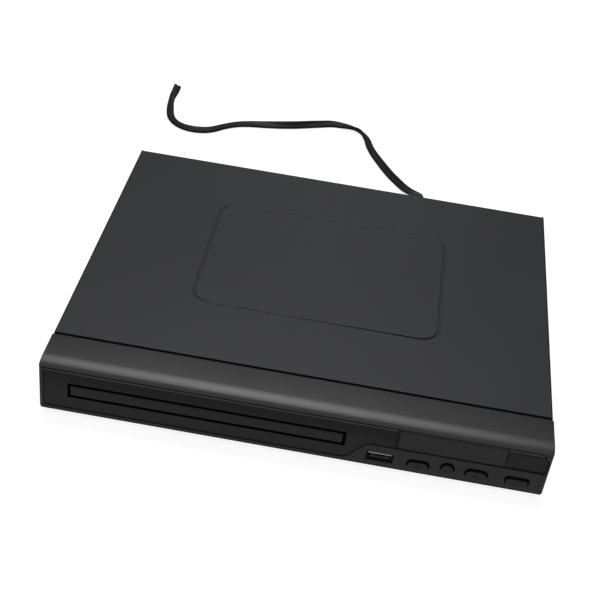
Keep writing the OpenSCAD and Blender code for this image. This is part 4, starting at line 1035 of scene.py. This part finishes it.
M["symbol_ink"] = moulded("symbol_ink", (0.0060, 0.0060, 0.0060), 0.5, spread=0.03, tint=0.08, grain=1500.0,
                          grain_depth=0.00001, strength=0.1, spec=0.4)
symbol("eject_mark", "eject_button", [[(66.9, 8.7), (70.1, 8.7), (68.5, 10.2)], [(66.9, 7.7), (70.1, 7.7), (70.1, 8.2), (66.9, 8.2)]])
symbol("play_mark", "play_button", [[(82.3, 8.6), (84.1, 9.6), (82.3, 10.6)], [(84.4, 8.6), (84.8, 8.6), (84.8, 10.6), (84.4, 10.6)],
                                    [(85.1, 8.6), (85.5, 8.6), (85.5, 10.6), (85.1, 10.6)]])
symbol("stop_mark", "stop_button", [[(98.35, 8.1), (100.2, 8.1), (100.2, 9.95), (98.35, 9.95)]])
symbol("power_mark", "power_button", ring_outlines(120.7, 8.55, 1.35, 0.36, 120, 420) + [[(120.52, 8.9), (120.88, 8.9), (120.88, 10.3), (120.52, 10.3)]])


# ------------------------------------------------------------------ the rest of the CAD nodes
usb_socket()
stood_for = set(KEY_CAPS) | {"power_cord", "top_cover", "front_bezel", "front_panel", "display_window", "ir_window", "tray_flap",
                             "usb_shell", "usb_tongue", "usb_contacts"}
# width of the round along the edges of each part that shows, in millimetres
ROUND = {
    "rubber_feet": 0.4, "rca_shells": 0.12, "rca_housing": 0.2, "hdmi_socket": 0.08, "disc_tray": 0.25, "turntable": 0.15,
    "clamp_bridge": 0.1, "clamp_puck": 0.2, "pickup_sled": 0.2,
    "cover_screws": 0.1, "bezel_screws": 0.1, "transformer": 0.2, "lift_frame": 0.15, "traverse_plate": 0.1,
    "lift_slider": 0.15, "spindle_motor": 0.15, "sled_motor": 0.15, "loading_motor": 0.15,
    "board_capacitors": 0.06, "board_connectors": 0.12, "decoder_chip": 0.1, "main_board": 0.06, "av_board": 0.06,
    "power_board": 0.06, "front_board": 0.06, "tray_switch": 0.1, "key_switches": 0.08, "display_module": 0.12,
}


def dressed(node, width):
    """The part's own shape with its edges rounded and its round faces shaded smooth."""
    ob = from_cad(node, node + "_part")
    bevel(ob, width, 2, 50)
    drop_specks(ob)
    smooth(ob, 38)
    return put(ob, M[SLOT_OF[node]], BODY_OF[node], SLOT_OF[node], node)


for node, ob in NODES.items():
    if node in stood_for:
        continue
    if node in ROUND:
        part = dressed(node, ROUND[node])
        if node == "rca_housing":
            # the insulating cores: yellow for the picture, white and red for the sound
            for name in ("core_yellow", "core_white", "core_red"):
                part.data.materials.append(M[name])
            for f in part.data.polygons:
                x, y, z = f.center.x * 1000, f.center.y * 1000 - YF, f.center.z * 1000
                k = round((x + 92) / 14)
                if y > 213.2 and math.hypot(x - (14 * k - 92), z - 17.5) < 3.5:
                    f.material_index = 1 + k
        continue
    mat = M[SLOT_OF[node]]
    ob.data.materials.clear()
    ob.data.materials.append(mat)


# ------------------------------------------------------------------ floor and light
def floor():
    bm = bmesh.new()
    n = 4
    grid = [[bm.verts.new((-8 + 16 * i / n, -8 + 16 * j / n, -0.00005)) for j in range(n + 1)] for i in range(n + 1)]
    for i in range(n):
        for j in range(n):
            bm.faces.new((grid[i][j], grid[i + 1][j], grid[i + 1][j + 1], grid[i][j + 1]))
    ob = new_object("floor", bm)
    mat = bpy.data.materials.new("floor_white")
    nt, bs = nodes_of(mat)
    vec = coords(nt)
    n1 = noise(nt, vec, 3.0, 2.0)
    nt.links.new(ramp(nt, n1, [(0.2, (0.40, 0.40, 0.40)), (0.8, (0.42, 0.42, 0.42))]), bs.inputs["Base Color"])
    bs.inputs["Roughness"].default_value = 0.9
    bs.inputs["Specular IOR Level"].default_value = 0.0
    bs.inputs["Emission Color"].default_value = (1, 1, 1, 1)
    bs.inputs["Emission Strength"].default_value = 0.86
    ob.data.materials.append(mat)
    ob.visible_glossy = False


floor()


def area(name, loc, aim, w, h, power, color=(1, 1, 1), shape="RECTANGLE"):
    data = bpy.data.lights.new(name, "AREA")
    data.shape = shape
    data.size = w
    data.size_y = h
    data.energy = power
    data.color = color
    ob = bpy.data.objects.new(name, data)
    scene.collection.objects.link(ob)
    ob.location = loc
    d = Vector(aim) - Vector(loc)
    ob.rotation_euler = d.to_track_quat("-Z", "Y").to_euler()
    ob.visible_camera = False
    return ob


def from_angle(el, az, dist, target=(0, 0, 0.02)):
    e, a = math.radians(el), math.radians(az)
    t = Vector(target)
    return t + Vector((math.sin(a) * math.cos(e), -math.cos(a) * math.cos(e), math.sin(e))) * dist


def world_light():
    """A pale room: brighter below and near the horizon, dimmer above it."""
    world = bpy.data.worlds.new("world")
    world.use_nodes = True
    nt = world.node_tree
    bg = nt.nodes["Background"]
    bg.inputs["Color"].default_value = (1, 1, 1, 1)
    tc = nt.nodes.new("ShaderNodeTexCoord")
    sp = nt.nodes.new("ShaderNodeSeparateXYZ")
    nt.links.new(tc.outputs["Generated"], sp.inputs["Vector"])
    nt.links.new(span(nt, sp.outputs["Z"], 0.31, 0.165, -0.1, 0.35), bg.inputs["Strength"])
    scene.world = world


world_light()
# long softbox overhead, a little behind: it draws the broad bright band along the rolled edge
area("key", from_angle(111, 0, 1.5, (-0.13, -0.1, 0.03)), (-0.10, -0.1, 0.03), 1.0, 0.66, 10.3, shape="ELLIPSE")
# wide fill from the front and above
area("fill", from_angle(63, 0, 2.6), (0, 0, 0), 2.6, 2.0, 11)
# dim backdrop behind
area("back", from_angle(151, 0, 3.0, (-0.08, 0, 0.02)), (-0.03, 0, 0), 0.75, 1.1, 1.25)
